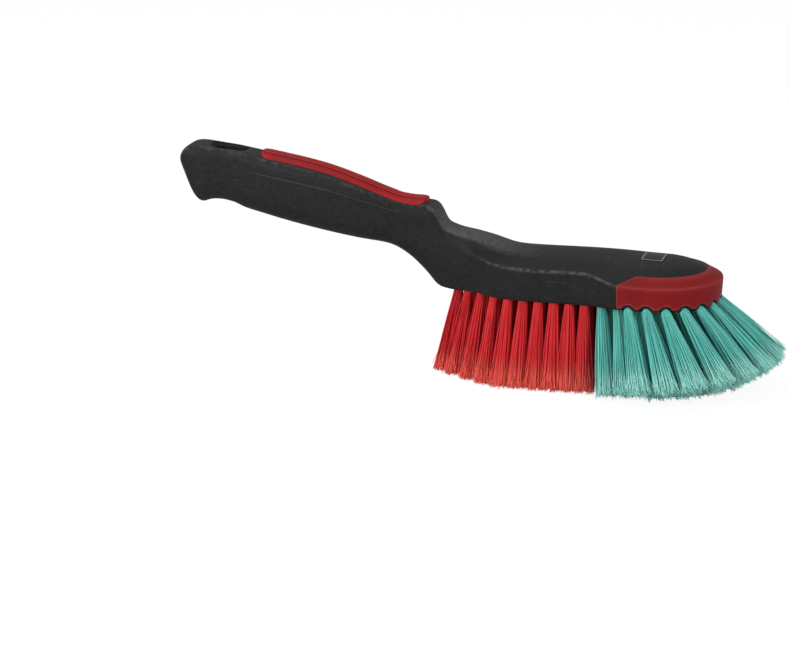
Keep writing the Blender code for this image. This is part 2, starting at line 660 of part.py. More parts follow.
def build_group(group, collection, tools):
    """One group of tufts fused to its slice of the backing, and the cutters for its seat."""
    name, _, roots, radius, path, spread, collared = group
    bar, collar = radius * BACKING_SHARE, radius * COLLAR_SHARE
    if collared:
        bar = radius * COLLAR_BAR_SHARE
        path = collar_bar_path(path, collar_bar_inset(collar, bar))
    slice_data, seat_data = bmesh.new(), bmesh.new()
    add_backing(slice_data, path, bar, 0.0, BACKING_DEPTH)
    add_backing(seat_data, path, bar + SEAT_GAP, -CUT_MARGIN, BACKING_DEPTH + SEAT_GAP)
    item = finish_mesh(name, slice_data, collection)
    cutters = [finish_mesh(f"{name}_seat", seat_data, tools)]
    if collared:
        collar_data, collar_seat_data = bmesh.new(), bmesh.new()
        for root in roots:
            add_disc(collar_data, root, collar, -BUMPER_FOOT / 2, COLLAR_DEPTH)
            add_disc(collar_seat_data, root, collar + SEAT_GAP, -CUT_MARGIN,
                     COLLAR_DEPTH + SEAT_GAP)
        add_cut(item, finish_mesh(f"{name}_collars", collar_data, tools), "UNION")
        cutters.append(finish_mesh(f"{name}_collar_seat", collar_seat_data, tools))
    tuft_data = bmesh.new()
    for root in roots:
        add_tuft(tuft_data, root, radius, spread)
    add_cut(item, finish_mesh(f"{name}_tufts", tuft_data, tools), "UNION")
    return item, cutters


def collar_bar_inset(collar, bar):
    """How far in from the roots the bar lies: half a collar, or farther on a narrow head, so
    that a wall is left between its seat and the bumper's rebate."""
    rebate = BUMPER_THICKNESS + WALL_TAPER + SEAT_GAP
    root_inset = (1 - TEAL_RING_SHARES["outer"][0]) * HEAD_HALF_WIDTH
    return max(collar / 2, rebate + COLLAR_BAR_WALL + SEAT_GAP + bar - root_inset)


def collar_bar_path(path, inset):
    """Path of the bar that joins the collars, moved in from the roots towards the middle."""
    path = np.asarray(path, float)
    out = path - np.column_stack([np.minimum(path[:, 0], NOSE_CENTRE), np.zeros(len(path))])
    out /= np.hypot(out[:, 0], out[:, 1])[:, None]
    return path - out * inset


def join_tools(name, items, tools):
    """Join cutters that do not touch into one."""
    mesh_data = bmesh.new()
    for item in items:
        mesh_data.from_mesh(item.data)
        bpy.data.objects.remove(item, do_unlink=True)
    return finish_mesh(name, mesh_data, tools)


def main():
    """Build the brush."""
    clear_scene()
    parts = new_collection("hand_brush")
    tools = new_collection("cutters")
    body = build_body(parts)
    grip = build_grip(parts)
    bumper = build_bumper(parts)
    nodes = [(body, "body_plastic"), (grip, "soft_red"), (bumper, "soft_red")]
    seats, collar_seats = [], []
    for group in tuft_groups():
        item, cutters = build_group(group, parts, tools)
        nodes.append((item, group[1]))
        seats.append(cutters[0])
        collar_seats += cutters[1:]
    add_cut(body, build_grip_pocket(tools), "DIFFERENCE")
    add_cut(body, build_hang_hole(tools), "DIFFERENCE")
    add_cut(body, build_bumper_rebate(tools), "DIFFERENCE")
    add_cut(body, join_tools("backing_seat_cutter", seats, tools), "DIFFERENCE")
    collar_cutter = join_tools("collar_seat_cutter", collar_seats, tools)
    add_cut(body, collar_cutter, "DIFFERENCE")
    add_cut(bumper, collar_cutter, "DIFFERENCE")
    for item in tools.objects:
        hide_tool(item)
    for item, slot in nodes:
        item.data.materials.append(new_material(item.name, slot))
        item.data.shade_smooth()
        item.data.set_sharp_from_angle(angle=math.radians(SHARP_ANGLE))
    solids = [body] + [item for item in tools.objects if item.name.endswith("_tufts")]
    along = [vertex.co.x for item in solids for vertex in item.data.vertices]
    frame = bpy.data.objects.new("hand_brush_frame", None)
    parts.objects.link(frame)
    frame.location = (-(min(along) + max(along)) / 2, 0.0, BRISTLE_DROP)
    for item in [node for node, _ in nodes] + list(tools.objects):
        item.parent = frame


main()
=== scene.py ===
"""Hand brush, its looks: moulded handle and head, soft grip and bumper, and filled tufts.

Sizes and tables are in metres in the maker's frame: x runs to the nose from the head's rear
lower corner, y is across and z is up from the drilled underside. PLACE moves them to the row.
"""
import math

import bmesh
import bpy
import numpy as np
from bpy.props import FloatProperty, FloatVectorProperty, IntProperty, PointerProperty
from bpy.types import Operator, Panel, PropertyGroup
from mathutils import Matrix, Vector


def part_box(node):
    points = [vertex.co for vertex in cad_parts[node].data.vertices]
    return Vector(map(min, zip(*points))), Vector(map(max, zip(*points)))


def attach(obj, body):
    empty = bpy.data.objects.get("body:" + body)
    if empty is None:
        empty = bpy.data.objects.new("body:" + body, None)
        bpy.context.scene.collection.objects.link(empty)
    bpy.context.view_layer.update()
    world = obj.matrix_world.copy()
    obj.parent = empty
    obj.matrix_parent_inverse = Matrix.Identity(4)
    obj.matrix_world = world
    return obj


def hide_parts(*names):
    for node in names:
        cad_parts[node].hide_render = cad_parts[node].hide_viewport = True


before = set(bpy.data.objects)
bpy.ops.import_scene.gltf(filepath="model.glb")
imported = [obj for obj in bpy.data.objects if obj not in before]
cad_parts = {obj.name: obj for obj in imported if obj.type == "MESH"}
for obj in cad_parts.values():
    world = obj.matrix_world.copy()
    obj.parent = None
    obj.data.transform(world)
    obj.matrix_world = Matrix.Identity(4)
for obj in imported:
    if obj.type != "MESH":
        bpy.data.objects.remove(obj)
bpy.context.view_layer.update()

bl_info = {
    "name": "Hand Brush",
    "version": (1, 0, 0),
    "blender": (4, 5, 0),
    "location": "View3D > Sidebar > Hand Brush",
    "description": "Builds the looks of a hand brush with a soft grip and fanned tufts",
    "category": "Object",
}

# Moulded body, as in the frame, but with a squarer top to the handle and neck, a lower crown
# on the neck, and a wall that stands up to 1.45 times as high at the waist.
HANDLE_LENGTH = 0.1447
HANDLE_HALF_WIDTH = 0.0131
HANDLE_HEIGHT = 0.07
HEAD_LENGTH = 0.1436
HEAD_HALF_WIDTH = 0.0332
HEAD_HEIGHT = 0.0237
WALL_HEIGHT = 0.0125
WALL_TAPER = 0.0009
BEVEL_WIDTH = 0.008
BEVEL_HEIGHT = 0.0042
LEDGE_SHARE = 0.45
EDGE_SOFTNESS = 0.0006
HANDLE_SQUARENESS = 3.4
TOP_SQUARENESS = 6.5
HANG_HOLE_LENGTH = 0.0176
HANG_HOLE_WIDTH = 0.0124
HANG_HOLE_CORNER = 0.003
HANG_HOLE_PLACE = -0.817 * HANDLE_LENGTH
HANG_HOLE_ROUND = 0.0006
HANG_HOLE_LEAN = 0.11
NOSE_CENTRE = HEAD_LENGTH - HEAD_HALF_WIDTH
NOSE_STEPS = 28

# Making the pieces: how far a cutter stands out, how near points are welded, from what angle
# an edge is sharp, what curvature, in radians a metre, counts in full for the pale, rubbed
# edges and their painted highlight, and the most that one edge counts.
CUT_MARGIN = 0.004
WELD = 0.000001
SHARP_ANGLE = math.radians(38)
BODY_CURVATURE, GRIP_CURVATURE, BUMPER_CURVATURE = 300.0, 600.0, 350.0
MOST_CURVATURE = 4000.0

# Soft grip and bumper.
GRIP_LENGTH = 0.0884
GRIP_HALF_WIDTH = 0.0086
GRIP_END_LENGTH = 0.0055
GRIP_END_POWER = 3.0
GRIP_END_CUT = 0.985
# Grooves of the grip: place across, depth and width, as shares.
GRIP_GROOVES = ((-0.5, 1.0, 0.08), (-0.16, 0.6, 0.05), (0.16, 0.6, 0.05), (0.5, 1.0, 0.08))
GRIP_GROOVE_DEPTH = 0.001
GRIP_PLACE = -0.3816 * HANDLE_LENGTH
# How far the grip stands above the handle's top line, and the share of it left at the ends.
GRIP_RISE = 0.0028
GRIP_END_RISE = 0.54
GRIP_CROWN = 0.0024
GRIP_SHOULDER = 0.86
GRIP_ROLL = 0.0013
GRIP_SINK = 0.0042
BUMPER_LENGTH = 0.0152
BUMPER_SLANT = 0.0095
BUMPER_FOOT = 0.0010
SCALLOP_RISE = 0.0023
SCALLOP_HALF_WIDTH = 0.0037
BUMPER_PROUD = 0.00016
BUMPER_SINK = 0.0015

# Plain label on the crown.
LABEL_PLACE = 0.1085
LABEL_LENGTH = 0.0125
LABEL_WIDTH = 0.019
LABEL_CORNER = 0.0015
LABEL_PROUD = 0.00012
LABEL_THICKNESS = 0.0003

# Tufts.
BRISTLE_DROP = 0.0455
TRIM_HALF_FLAT = 0.02
TRIM_RADIUS = 0.068
FIRST_ROW = 0.04076 * NOSE_CENTRE
LAST_ROW = 0.76183 * NOSE_CENTRE
NOSE_RUN = NOSE_CENTRE + 0.467 * HEAD_HALF_WIDTH - LAST_ROW
FAN_REACH = 0.034
FAN_POWER = 1.3
REAR_LEAN = 0.0086
LEAN_POWER = 1.5
# How far the tips of nose tufts beside the last red row are pushed forward, and how far
# from it this reaches.
EDGE_PUSH = 0.0025
EDGE_REACH = 0.004
# How much farther out a tuft's tip lies than its root, as a share.
ROW_SPREAD = 0.22
NOSE_SPREAD = 0.72
OUTER_RING_SHIFT = 0.0012
SECOND_TUFT_SHIFT = 0.0016
HOLE_RADIUS = 0.00255
HOLE_DEPTH = 0.0042
OUTER_HOLE_TOP = 0.0021
OUTER_HOLE_LEAN = 0.45
HOLE_FLARE = 0.0003
HOLE_MOUTH = 0.00045
HOLE_OUTSIDE = 0.0016

# Filaments: where they start above the underside, how they are scattered, in metres or as
# shares, and how they are trimmed. The golden angle spreads them evenly over the hole.
ROOT_TOP = 0.0012
OUTER_ROOT_TOP = -0.0001
OUTER_ROOT_DOME = 0.0018
GOLDEN_ANGLE = 2.39996
HOLE_CLEARANCE = 0.00012
CROWD_RUN = 0.02
SPREAD_SCATTER = 0.07
TIP_SCATTER = 0.00032
BOW_SCATTER = 0.00035
FLAG_SCATTER = 0.0007
TRIM_SCATTER = 0.00055
SHORTEST = 0.0036
LONGEST, LENGTH_SCATTER = 1.012, 0.012
# Where a split end starts before the tip, in flag lengths, and its own scatter of length.
FLAG_SPAN, FLAG_LENGTH_SCATTER = (0.5, 1.25), 0.01
TRIM_RISE = 0.0013
CLUMP_RISE = 0.001
TRIM_CLEARANCE = 0.0004
FLOOR_CLEARANCE = 0.0003
# Radii along a shaft and along a split end, in filament diameters.
SHAFT_RADII = np.array((1.0, 1.15, 1.35, 1.45, 1.25, 0.6)) / 2
FLAG_RADII = np.array((0.46, 0.42, 0.26))

# Floor's half width, and each lamp's place, target, size and power.
FLOOR_REACH = 4.0
LAMPS = {
    "overhead": ((-0.25, 0.25, 1.3), (0.0, 0.0, 0.05), 1.1, 4.0),
    "front_left": ((-0.75, -1.35, 0.55), (0.0, 0.0, 0.05), 0.8, 15.0),
    "right": ((1.1, -0.6, 0.5), (0.05, 0.0, 0.05), 0.6, 5.0),
}

# Camera that fits the photograph: its size in pixels, where the head's rear lower corner is
# seen in it, the focal length in pixels, the distance, and the angles round and above.
PHOTO_SIZE = (788.0, 662.0)
CORNER_SEEN = (448.4, 285.0)
FOCAL_PIXELS = 3854.0
CAMERA_DISTANCE = 2.0
CAMERA_TURN, CAMERA_LIFT = math.radians(14.6), math.radians(14.4)
SENSOR_WIDTH = 36.0

# Where the maker's frame lies in the row's frame: the handle ends at -0.99 of its length.
PLACE = np.array([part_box("brush_body")[0].x + 0.99 * HANDLE_LENGTH, 0.0, BRISTLE_DROP])

RING_ANGLES = np.radians(
    (-90, -76, -62, -46, -32, -18, -4, 6, 18, 28, 38, 48, 58, 68, 77, 84, 90))
CROWN_SHARES = np.array((0.86, 0.7, 0.54, 0.38, 0.24, 0.11, 0.0))
CREASE_POINT = 6

# Handle end: underside x and z, top x and z, half width, as shares of the handle's sizes.
END_RINGS = np.array((
    (-0.9370, 0.618, -0.9900, 0.856, 0.600),
    (-0.9310, 0.587, -0.9870, 0.902, 0.720),
    (-0.9230, 0.562, -0.9770, 0.942, 0.775),
    (-0.9140, 0.546, -0.9590, 0.975, 0.808),
    (-0.9010, 0.542, -0.9340, 0.990, 0.824),
    (-0.8850, 0.553, -0.9040, 0.987, 0.820),
    (-0.8680, 0.563, -0.8760, 0.981, 0.806),
))
# Handle and neck: x as a share of the handle length, then underside z, top z, half width.
HANDLE_RINGS = np.array((
    (-0.845, 0.566, 0.974, 0.792),
    (-0.815, 0.562, 0.968, 0.782),
    (-0.780, 0.540, 0.959, 0.785),
    (-0.740, 0.506, 0.944, 0.812),
    (-0.690, 0.485, 0.924, 0.862),
    (-0.640, 0.459, 0.907, 0.912),
    (-0.590, 0.436, 0.889, 0.953),
    (-0.530, 0.410, 0.867, 0.983),
    (-0.470, 0.386, 0.841, 0.998),
    (-0.410, 0.364, 0.808, 1.000),
    (-0.350, 0.344, 0.768, 0.985),
    (-0.300, 0.329, 0.733, 0.954),
    (-0.250, 0.320, 0.695, 0.908),
    (-0.210, 0.308, 0.667, 0.865),
    (-0.180, 0.287, 0.647, 0.838),
    (-0.150, 0.251, 0.637, 0.815),
    (-0.120, 0.206, 0.632, 0.800),
    (-0.095, 0.157, 0.632, 0.792),
    (-0.072, 0.108, 0.628, 0.787),
    (-0.055, 0.069, 0.623, 0.785),
    (-0.042, 0.032, 0.605, 0.785),
    (-0.030, 0.010, 0.566, 0.787),
))
# Head: x as a share of the head length, top z, half width, turned below and above the
# crease, and the wall's height as a share of its height in the nose.
HEAD_RINGS = np.array((
    (-0.0181, 1.505, 0.311, 0.35, 0.00, 1.40),
    (-0.0060, 1.392, 0.313, 0.65, 0.00, 1.40),
    (0.0125, 1.350, 0.317, 0.85, 0.00, 1.40),
    (0.0330, 1.308, 0.326, 1.00, 0.02, 1.40),
    (0.0553, 1.273, 0.342, 1.00, 0.06, 1.40),
    (0.0855, 1.250, 0.375, 1.00, 0.14, 1.41),
    (0.1126, 1.222, 0.420, 1.00, 0.27, 1.42),
    (0.1388, 1.192, 0.485, 1.00, 0.45, 1.43),
    (0.1629, 1.170, 0.569, 1.00, 0.66, 1.44),
    (0.1870, 1.142, 0.653, 1.00, 0.85, 1.45),
    (0.2112, 1.098, 0.720, 1.00, 0.96, 1.45),
    (0.2373, 1.046, 0.766, 1.00, 1.00, 1.44),
    (0.2665, 1.010, 0.793, 1.00, 1.00, 1.42),
    (0.3117, 1.000, 0.811, 1.00, 1.00, 1.39),
    (0.3821, 1.000, 0.821, 1.00, 1.00, 1.37),
    (0.4626, 1.003, 0.825, 1.00, 1.00, 1.41),
    (0.5329, 1.003, 0.832, 1.00, 1.00, 1.41),
    (0.5611, 1.001, 0.848, 1.00, 1.00, 1.36),
    (0.5852, 0.997, 0.879, 1.00, 1.00, 1.28),
    (0.6094, 0.990, 0.924, 1.00, 1.00, 1.19),
    (0.6335, 0.982, 0.963, 1.00, 1.00, 1.12),
    (0.6576, 0.972, 0.988, 1.00, 1.00, 1.08),
    (0.6838, 0.960, 0.998, 1.00, 1.00, 1.05),
    (0.7139, 0.949, 1.000, 1.00, 1.00, 1.03),
    (0.7697, 0.934, 1.000, 1.00, 1.00, 1.00),
))

# Red tufts: each row's place along and its tufts' places across, in head half widths.
FULL_ROW = (-0.681, -0.429, -0.149, 0.149, 0.429, 0.681)
RED_ROWS = (
    (0.018, (0.0,)),
    (0.101, (-0.195, 0.195)),
    (0.202, (-0.365, 0.0, 0.365)),
    (0.303, (-0.540, -0.205, 0.205, 0.540)),
    (0.404, (-0.659, -0.420, -0.149, 0.149, 0.420, 0.659)),
    (0.505, (-0.678, -0.429, -0.149, 0.149, 0.429, 0.678)),
    *((along, FULL_ROW) for along in (0.606, 0.707, 0.808, 0.909)),
    (1.000, (-0.376, 0.0, 0.376)),
)
RED_COLUMNS = {
    "left": ((0.1866, 0.241), (0.3780, 0.241), (0.5689, 0.241), (0.7364, 0.217)),
    "centre": ((0.2939, 0.0), (0.5092, 0.0), (0.8086, 0.0)),
    "right": ((0.1866, -0.241), (0.3780, -0.241), (0.5689, -0.241), (0.7364, -0.217)),
}
# Teal rings: radius in head half widths, rear end along, tufts in all, tufts in a side piece.
TEAL_RINGS = {
    "inner": (0.467, 0.1509, 10, 3),
    "middle": (0.681, 0.040, 13, 4),
    "outer": (0.897, 0.4043, 13, 4),
}


def linear(hex_text):
    """An sRGB hex colour as linear red, green, blue and alpha."""
    share = [int(hex_text[k:k + 2], 16) / 255 for k in (0, 2, 4)]
    return (*[c / 12.92 if c <= 0.04045 else ((c + 0.055) / 1.055) ** 2.4 for c in share], 1.0)


class HandBrushSizes(PropertyGroup):
    """Sizes that a user would change."""

    filament_diameter: FloatProperty(
        name="Filament diameter", description="Thickness of one polyester filament",
        default=0.00038, min=0.0001, max=0.001, unit="LENGTH", precision=5)
    filaments: IntProperty(
        name="Filaments in a tuft", description="Filaments that fill one drilled hole",
        default=180, min=20, max=240)
    flag_length: FloatProperty(
        name="Flag length", description="Length of the split ends of the filaments",
        default=0.01, min=0.0, max=0.03, unit="LENGTH")
    red_spread: FloatProperty(
        name="Red tip radius", description="Radius that a red tuft opens to at its tip",
        default=0.0054, min=0.001, max=0.01, unit="LENGTH")
    teal_spread: FloatProperty(
        name="Teal tip radius", description="Radius that a teal tuft opens to at its tip",
        default=0.0066, min=0.001, max=0.01, unit="LENGTH")


class HandBrushColours(PropertyGroup):
    """Colours that a user would change."""

    body: FloatVectorProperty(
        name="Body", description="Moulded handle and head", default=linear("191919"),
        size=4, subtype="COLOR", min=0.0, max=1.0)
    grip: FloatVectorProperty(
        name="Grip", description="Soft grip, kept bright by the hand",
        default=linear("96191e"), size=4, subtype="COLOR", min=0.0, max=1.0)
    bumper: FloatVectorProperty(
        name="Bumper", description="Soft bumper round the nose",
        default=linear("7d1619"), size=4, subtype="COLOR", min=0.0, max=1.0)
    red: FloatVectorProperty(
        name="Red filaments", description="Filaments of the rows and of the nose's middle",
        default=linear("de2b32"), size=4, subtype="COLOR", min=0.0, max=1.0)
    teal: FloatVectorProperty(
        name="Teal filaments", description="Filaments of the rings round the nose",
        default=linear("6acbc0"), size=4, subtype="COLOR", min=0.0, max=1.0)


def add_node(tree, kind, sockets=None, **settings):
    """Add a node, set its properties, and fill its sockets with values or other outputs."""
    node = tree.nodes.new(kind)
    for name, value in settings.items():
        setattr(node, name, value)
    for key, value in (sockets or {}).items():
        if isinstance(value, bpy.types.NodeSocket):
            tree.links.new(value, node.inputs[key])
        else:
            node.inputs[key].default_value = value
    return node


def clear_tree(block):
    """The node tree of a material or world, emptied."""
    block.use_nodes = True
    block.node_tree.nodes.clear()
    return block.node_tree


def start_material(name):
    """A new material and its empty node tree."""
    material = bpy.data.materials.new(name)
    return material, clear_tree(material)


def end_material(tree, sockets):
    """End a material with a Principled shader that has these sockets."""
    shader = add_node(tree, "ShaderNodeBsdfPrincipled", sockets)
    add_node(tree, "ShaderNodeOutputMaterial", {"Surface": shader.outputs["BSDF"]})


def maths(tree, operation, *values, **settings):
    """What a Math node makes of some values."""
    return add_node(tree, "ShaderNodeMath", dict(enumerate(values)), operation=operation,
                    **settings).outputs["Value"]


def product(tree, first, *others):
    """Values multiplied, from the first on."""
    for other in others:
        first = maths(tree, "MULTIPLY", first, other)
    return first


def ranged(tree, value, low, high, to_low=0.0, to_high=1.0, **settings):
    """A value carried from one range to another and held within it."""
    sockets = {"Value": value, "From Min": low, "From Max": high, "To Min": to_low,
               "To Max": to_high}
    return add_node(tree, "ShaderNodeMapRange", sockets, **settings).outputs["Result"]


def noise(tree, place, scale, detail=2.0, roughness=0.5):
    """A cloudy value between nothing and one; the scale is its patches in a metre."""
    return add_node(tree, "ShaderNodeTexNoise", {
        "Vector": place, "Scale": scale, "Detail": detail,
        "Roughness": roughness}).outputs["Fac"]


def blend(tree, share, first, second):
    """The first colour carried by a share to the second."""
    return add_node(tree, "ShaderNodeMix", {"Factor": share, "A": first, "B": second},
                    data_type="RGBA").outputs["Result"]


def scaled(tree, colour, amount):
    """A colour times an amount."""
    return add_node(tree, "ShaderNodeVectorMath", {0: colour, "Scale": amount},
                    operation="SCALE").outputs["Vector"]


def bumped(tree, height, strength, depth):
    """Normals of a relief of a depth in metres."""
    return add_node(tree, "ShaderNodeBump", {"Height": height, "Strength": strength,
                                             "Distance": depth}).outputs["Normal"]


def object_place(tree):
    """A point's place in the piece."""
    return add_node(tree, "ShaderNodeTexCoord").outputs["Object"]


def bend_share(tree):
    """How sharply a point bends, as stored by mark_bend: edges are painted paler from it, for
    rubbing and a painted highlight, and hollows darker, for painted shade.
    """
    return add_node(tree, "ShaderNodeAttribute", attribute_name="edge_bend").outputs["Fac"]


def map_parts(tree, layer):
    """The two values in a piece's own UV map."""
    area = add_node(tree, "ShaderNodeUVMap", uv_map=layer)
    parts = add_node(tree, "ShaderNodeSeparateXYZ", {"Vector": area.outputs["UV"]})
    return parts.outputs["X"], parts.outputs["Y"]


def moulded_polypropylene(colour):
    """Polypropylene, injection moulded in an eroded mould: satin, cloudy, faintly scuffed,
    with pale rubbed edges that carry a painted highlight, painted light from above on the upper
    faces, and a thin parting line along both sides of the handle."""
    material, tree = start_material("polypropylene_moulded_black")
    place = object_place(tree)
    # The map holds the way along in metres and the share of the way round from the underside
    # to the top.
    along, lift = map_parts(tree, "surface")
    # Clouds of 12 mm and blotches of 2.4 mm: pigment and flow marks that never come out even.
    cloud = noise(tree, place, 80.0, 4.0, 0.6)
    mottle = noise(tree, place, 420.0, 3.0, 0.65)
    # Grain of 0.7 mm, the eroded mould; the real one is half that and wouldn't show.
    grain = noise(tree, place, 1400.0)
    uneven = product(tree, ranged(tree, cloud, 0.3, 0.7, 0.8, 1.2),
                     ranged(tree, mottle, 0.3, 0.7, 0.7, 1.35),
                     ranged(tree, grain, 0.3, 0.7, 0.72, 1.3))
    tint = scaled(tree, tuple(colour[:3]), uneven)
    # Flow streaks and scratches run along: 20 mm long and about 1 mm across.
    stretched = add_node(tree, "ShaderNodeMapping",
                         {"Vector": place, "Scale": (50.0, 900.0, 1250.0)}).outputs["Vector"]
    scratch = ranged(tree, noise(tree, stretched, 1.0, 3.0), 0.66, 0.8, 0.0, 0.16)
    # Hands and buckets rub the upper edges pale, in patches of 4 mm, and the pale also stands
    # for a painted highlight where the edges catch the light.
    patchy = ranged(tree, noise(tree, place, 260.0, 4.0, 0.7), 0.4, 0.66, 0.05, 0.62)
    ridge = ranged(tree, bend_share(tree), 0.18, 1.0, interpolation_type="SMOOTHSTEP")
    rubbed_and_highlit = product(tree, ridge, ranged(tree, lift, 0.3, 0.42), patchy)
    # Painted light from above: the upper faces are a little paler, and the neck's top, where
    # the thumb lies, far paler, both in specks.
    facing = ranged(tree, lift, 0.63, 0.75)
    before = ranged(tree, along, -0.009, -0.003, 0.14, 1.0)
    behind = ranged(tree, along, 0.020, 0.055, 0.34, 0.045)
    top_light = product(tree, before, behind, facing, uneven)
    # The mould's halves met along the handle's sides and left a line 0.4 mm wide.
    level = ranged(tree, along, -0.104, -0.019, 0.4375, 0.47)
    away = maths(tree, "ABSOLUTE", maths(tree, "ADD", along, 0.0615))
    seam = product(tree, maths(tree, "COMPARE", lift, level, 0.0018),
                   ranged(tree, away, 0.036, 0.044, 0.24, 0.0))
    pale = maths(tree, "ADD", maths(tree, "ADD", scratch, rubbed_and_highlit), seam)
    pale = maths(tree, "ADD", pale, top_light, use_clamp=True)
    end_material(tree, {
        "Base Color": blend(tree, pale, tint, linear("706f6b")),
        "Roughness": ranged(tree, cloud, 0.3, 0.7, 0.48, 0.6),
        "Normal": bumped(tree, maths(tree, "ADD", grain, mottle), 0.3, 0.0002),
        "IOR": 1.49, "Specular IOR Level": 0.18})
    return material


def moulded_elastomer(name, colour):
    """Thermoplastic elastomer, overmoulded: matt, slightly dusty, with painted shade and dirt
    in its grooves and hollows, and paler rubbed edges that carry a painted highlight."""
    material, tree = start_material(name)
    place, bent = object_place(tree), bend_share(tree)
    _, hollow = map_parts(tree, "surface")
    # Clouds of 20 mm: uneven dust and colour.
    cloud = noise(tree, place, 50.0, 3.0)
    # Grain of 0.6 mm, the matt mould; drawn twice its real size so that it shows.
    grain = noise(tree, place, 1600.0)
    tint = scaled(tree, tuple(colour[:3]), ranged(tree, cloud, 0.3, 0.7, 0.88, 1.12))
    # Painted shade and dirt darken the grooves and the rolled edge, which the map's second
    # value marks, and the inside corners, where the bend attribute is below nothing.
    shade_and_dirt = ranged(tree, maths(tree, "SUBTRACT", hollow, bent), 0.1, 1.0, 0.0, 0.9)
    shaded_and_soiled = blend(tree, shade_and_dirt, tint, linear("4a1416"))
    # Convex edges are paler: rubbing, and a painted highlight where they catch the light.
    edge = ranged(tree, bent, 0.15, 1.0, 0.0, 0.34)
    end_material(tree, {
        "Base Color": blend(tree, edge, shaded_and_soiled, linear("b8504c")),
        "Roughness": ranged(tree, cloud, 0.3, 0.7, 0.45, 0.58),
        "Normal": bumped(tree, grain, 0.18, 0.0002),
        "IOR": 1.5, "Specular IOR Level": 0.1})
    return material


def polyester_filament(name, colour, tip):
    """Polyester filament, extruded and flagged: satin, with pale, dry-looking split ends."""
    material, tree = start_material(name)
    # The map holds the share of the way down a filament and a number of its own.
    along, own = map_parts(tree, "strand")
    # The flagged ends scatter light, so the last third is paler than the shaft.
    end = ranged(tree, along, 0.62, 0.98, interpolation_type="SMOOTHSTEP")
    mixed = blend(tree, end, tuple(colour), linear(tip))
    # Each filament catches the light a little differently from its neighbours.
    tint = scaled(tree, mixed, ranged(tree, own, 0.0, 1.0, 0.9, 1.1))
    end_material(tree, {
        "Base Color": tint, "Roughness": ranged(tree, along, 0.5, 1.0, 0.42, 0.7),
        "IOR": 1.55, "Specular IOR Level": 0.22})
    return material


def label_film():
    """Vinyl film, printed and laminated: smooth black with a plain pale border line."""
    material, tree = start_material("vinyl_film_printed_plain")
    # The map holds the ways in from the ends and from the sides, in metres. The border is
    # 0.5 mm wide and lies 0.9 mm in from the edge.
    near = maths(tree, "MINIMUM", *map_parts(tree, "sheet"))
    off = maths(tree, "ABSOLUTE", maths(tree, "SUBTRACT", near, 0.00115))
    line = maths(tree, "LESS_THAN", off, 0.00025)
    # Waves of 4 mm, where the film follows the plastic.
    wave = noise(tree, object_place(tree), 250.0)
    end_material(tree, {
        "Base Color": blend(tree, line, linear("151515"), linear("8f8f8d")),
        "Roughness": 0.42, "Normal": bumped(tree, wave, 0.1, 0.0003),
        "Specular IOR Level": 0.25})
    return material


def through(xs, ys, at):
    """Cubic Hermite curve through a table; each inner slope is the harmonic mean of the two
    steps beside it, or nothing where they turn, so it never overshoots the table."""
    xs, ys = np.asarray(xs, float), np.asarray(ys, float)
    step = np.diff(xs)
    slope = np.diff(ys) / step
    before, after = slope[:-1], slope[1:]
    same = before * after > 0.0
    inner = np.where(same, 2.0 * before * after / np.where(same, before + after, 1.0), 0.0)
    tangent = np.concatenate([slope[:1], inner, slope[-1:]])
    at = np.clip(np.asarray(at, float), xs[0], xs[-1])
    k = np.clip(np.searchsorted(xs, at, side="right") - 1, 0, len(step) - 1)
    t = (at - xs[k]) / step[k]
    return (ys[k] * (1 + 2 * t) * (1 - t) ** 2 + ys[k + 1] * t * t * (3 - 2 * t)
            + step[k] * (tangent[k] * t * (1 - t) ** 2 + tangent[k + 1] * t * t * (t - 1)))


def grid_faces(rows, columns, start=0):
    """Corner numbers of the quads of a grid of rows by columns vertices."""
    first = start + np.arange(rows - 1)[:, None] * columns + np.arange(columns - 1)
    return np.stack([first, first + columns, first + columns + 1, first + 1],
                    axis=-1).reshape(-1, 4)


def tube_faces(rows, columns, count=1):
    """Faces of closed tubes that follow each other, whose last column is the first again:
    the quads of all, then two caps each."""
    first = np.arange(count) * rows * columns
    quads = (grid_faces(rows, columns) + first[:, None, None]).reshape(-1, 4)
    caps = [start + np.arange(columns - 1)
            for k in first for start in (k, k + (rows - 1) * columns)]
    return [*quads, *caps]


def handle_line(column, x):
    """Height of the handle at places along: column 1 for its underside, 2 for its top."""
    return through(HANDLE_RINGS[:, 0] * HANDLE_LENGTH,
                   HANDLE_RINGS[:, column] * HANDLE_HEIGHT, x)


def head_line(column, size, x):
    """A column of the head's table at places along, times a size."""
    return through(HEAD_RINGS[:, 0] * HEAD_LENGTH, HEAD_RINGS[:, column] * size, x)


def unit(vectors):
    """Vectors brought to a length of one."""
    return vectors / np.linalg.norm(vectors, axis=-1, keepdims=True)


def joined(*parts):
    """Arrays spread to one shape and set side by side in a last axis."""
    return np.stack(np.broadcast_arrays(*parts), axis=-1)


def add_object(name, data):
    """Put a mesh, lamp or camera in the scene as an object."""
    item = bpy.data.objects.new(name, data)
    bpy.context.scene.collection.objects.link(item)
    return item


def fetched(items, name, width, kind):
    """One property of all items of a mesh as an array of rows."""
    values = np.empty(len(items) * width, kind)
    items.foreach_get(name, values)
    return values.reshape(-1, width)


def write_map(mesh, layer, values):
    """Store two values a face corner as a UV map."""
    uv = mesh.uv_layers.new(name=layer)
    uv.data.foreach_set("uv", values.astype(np.float32).ravel())


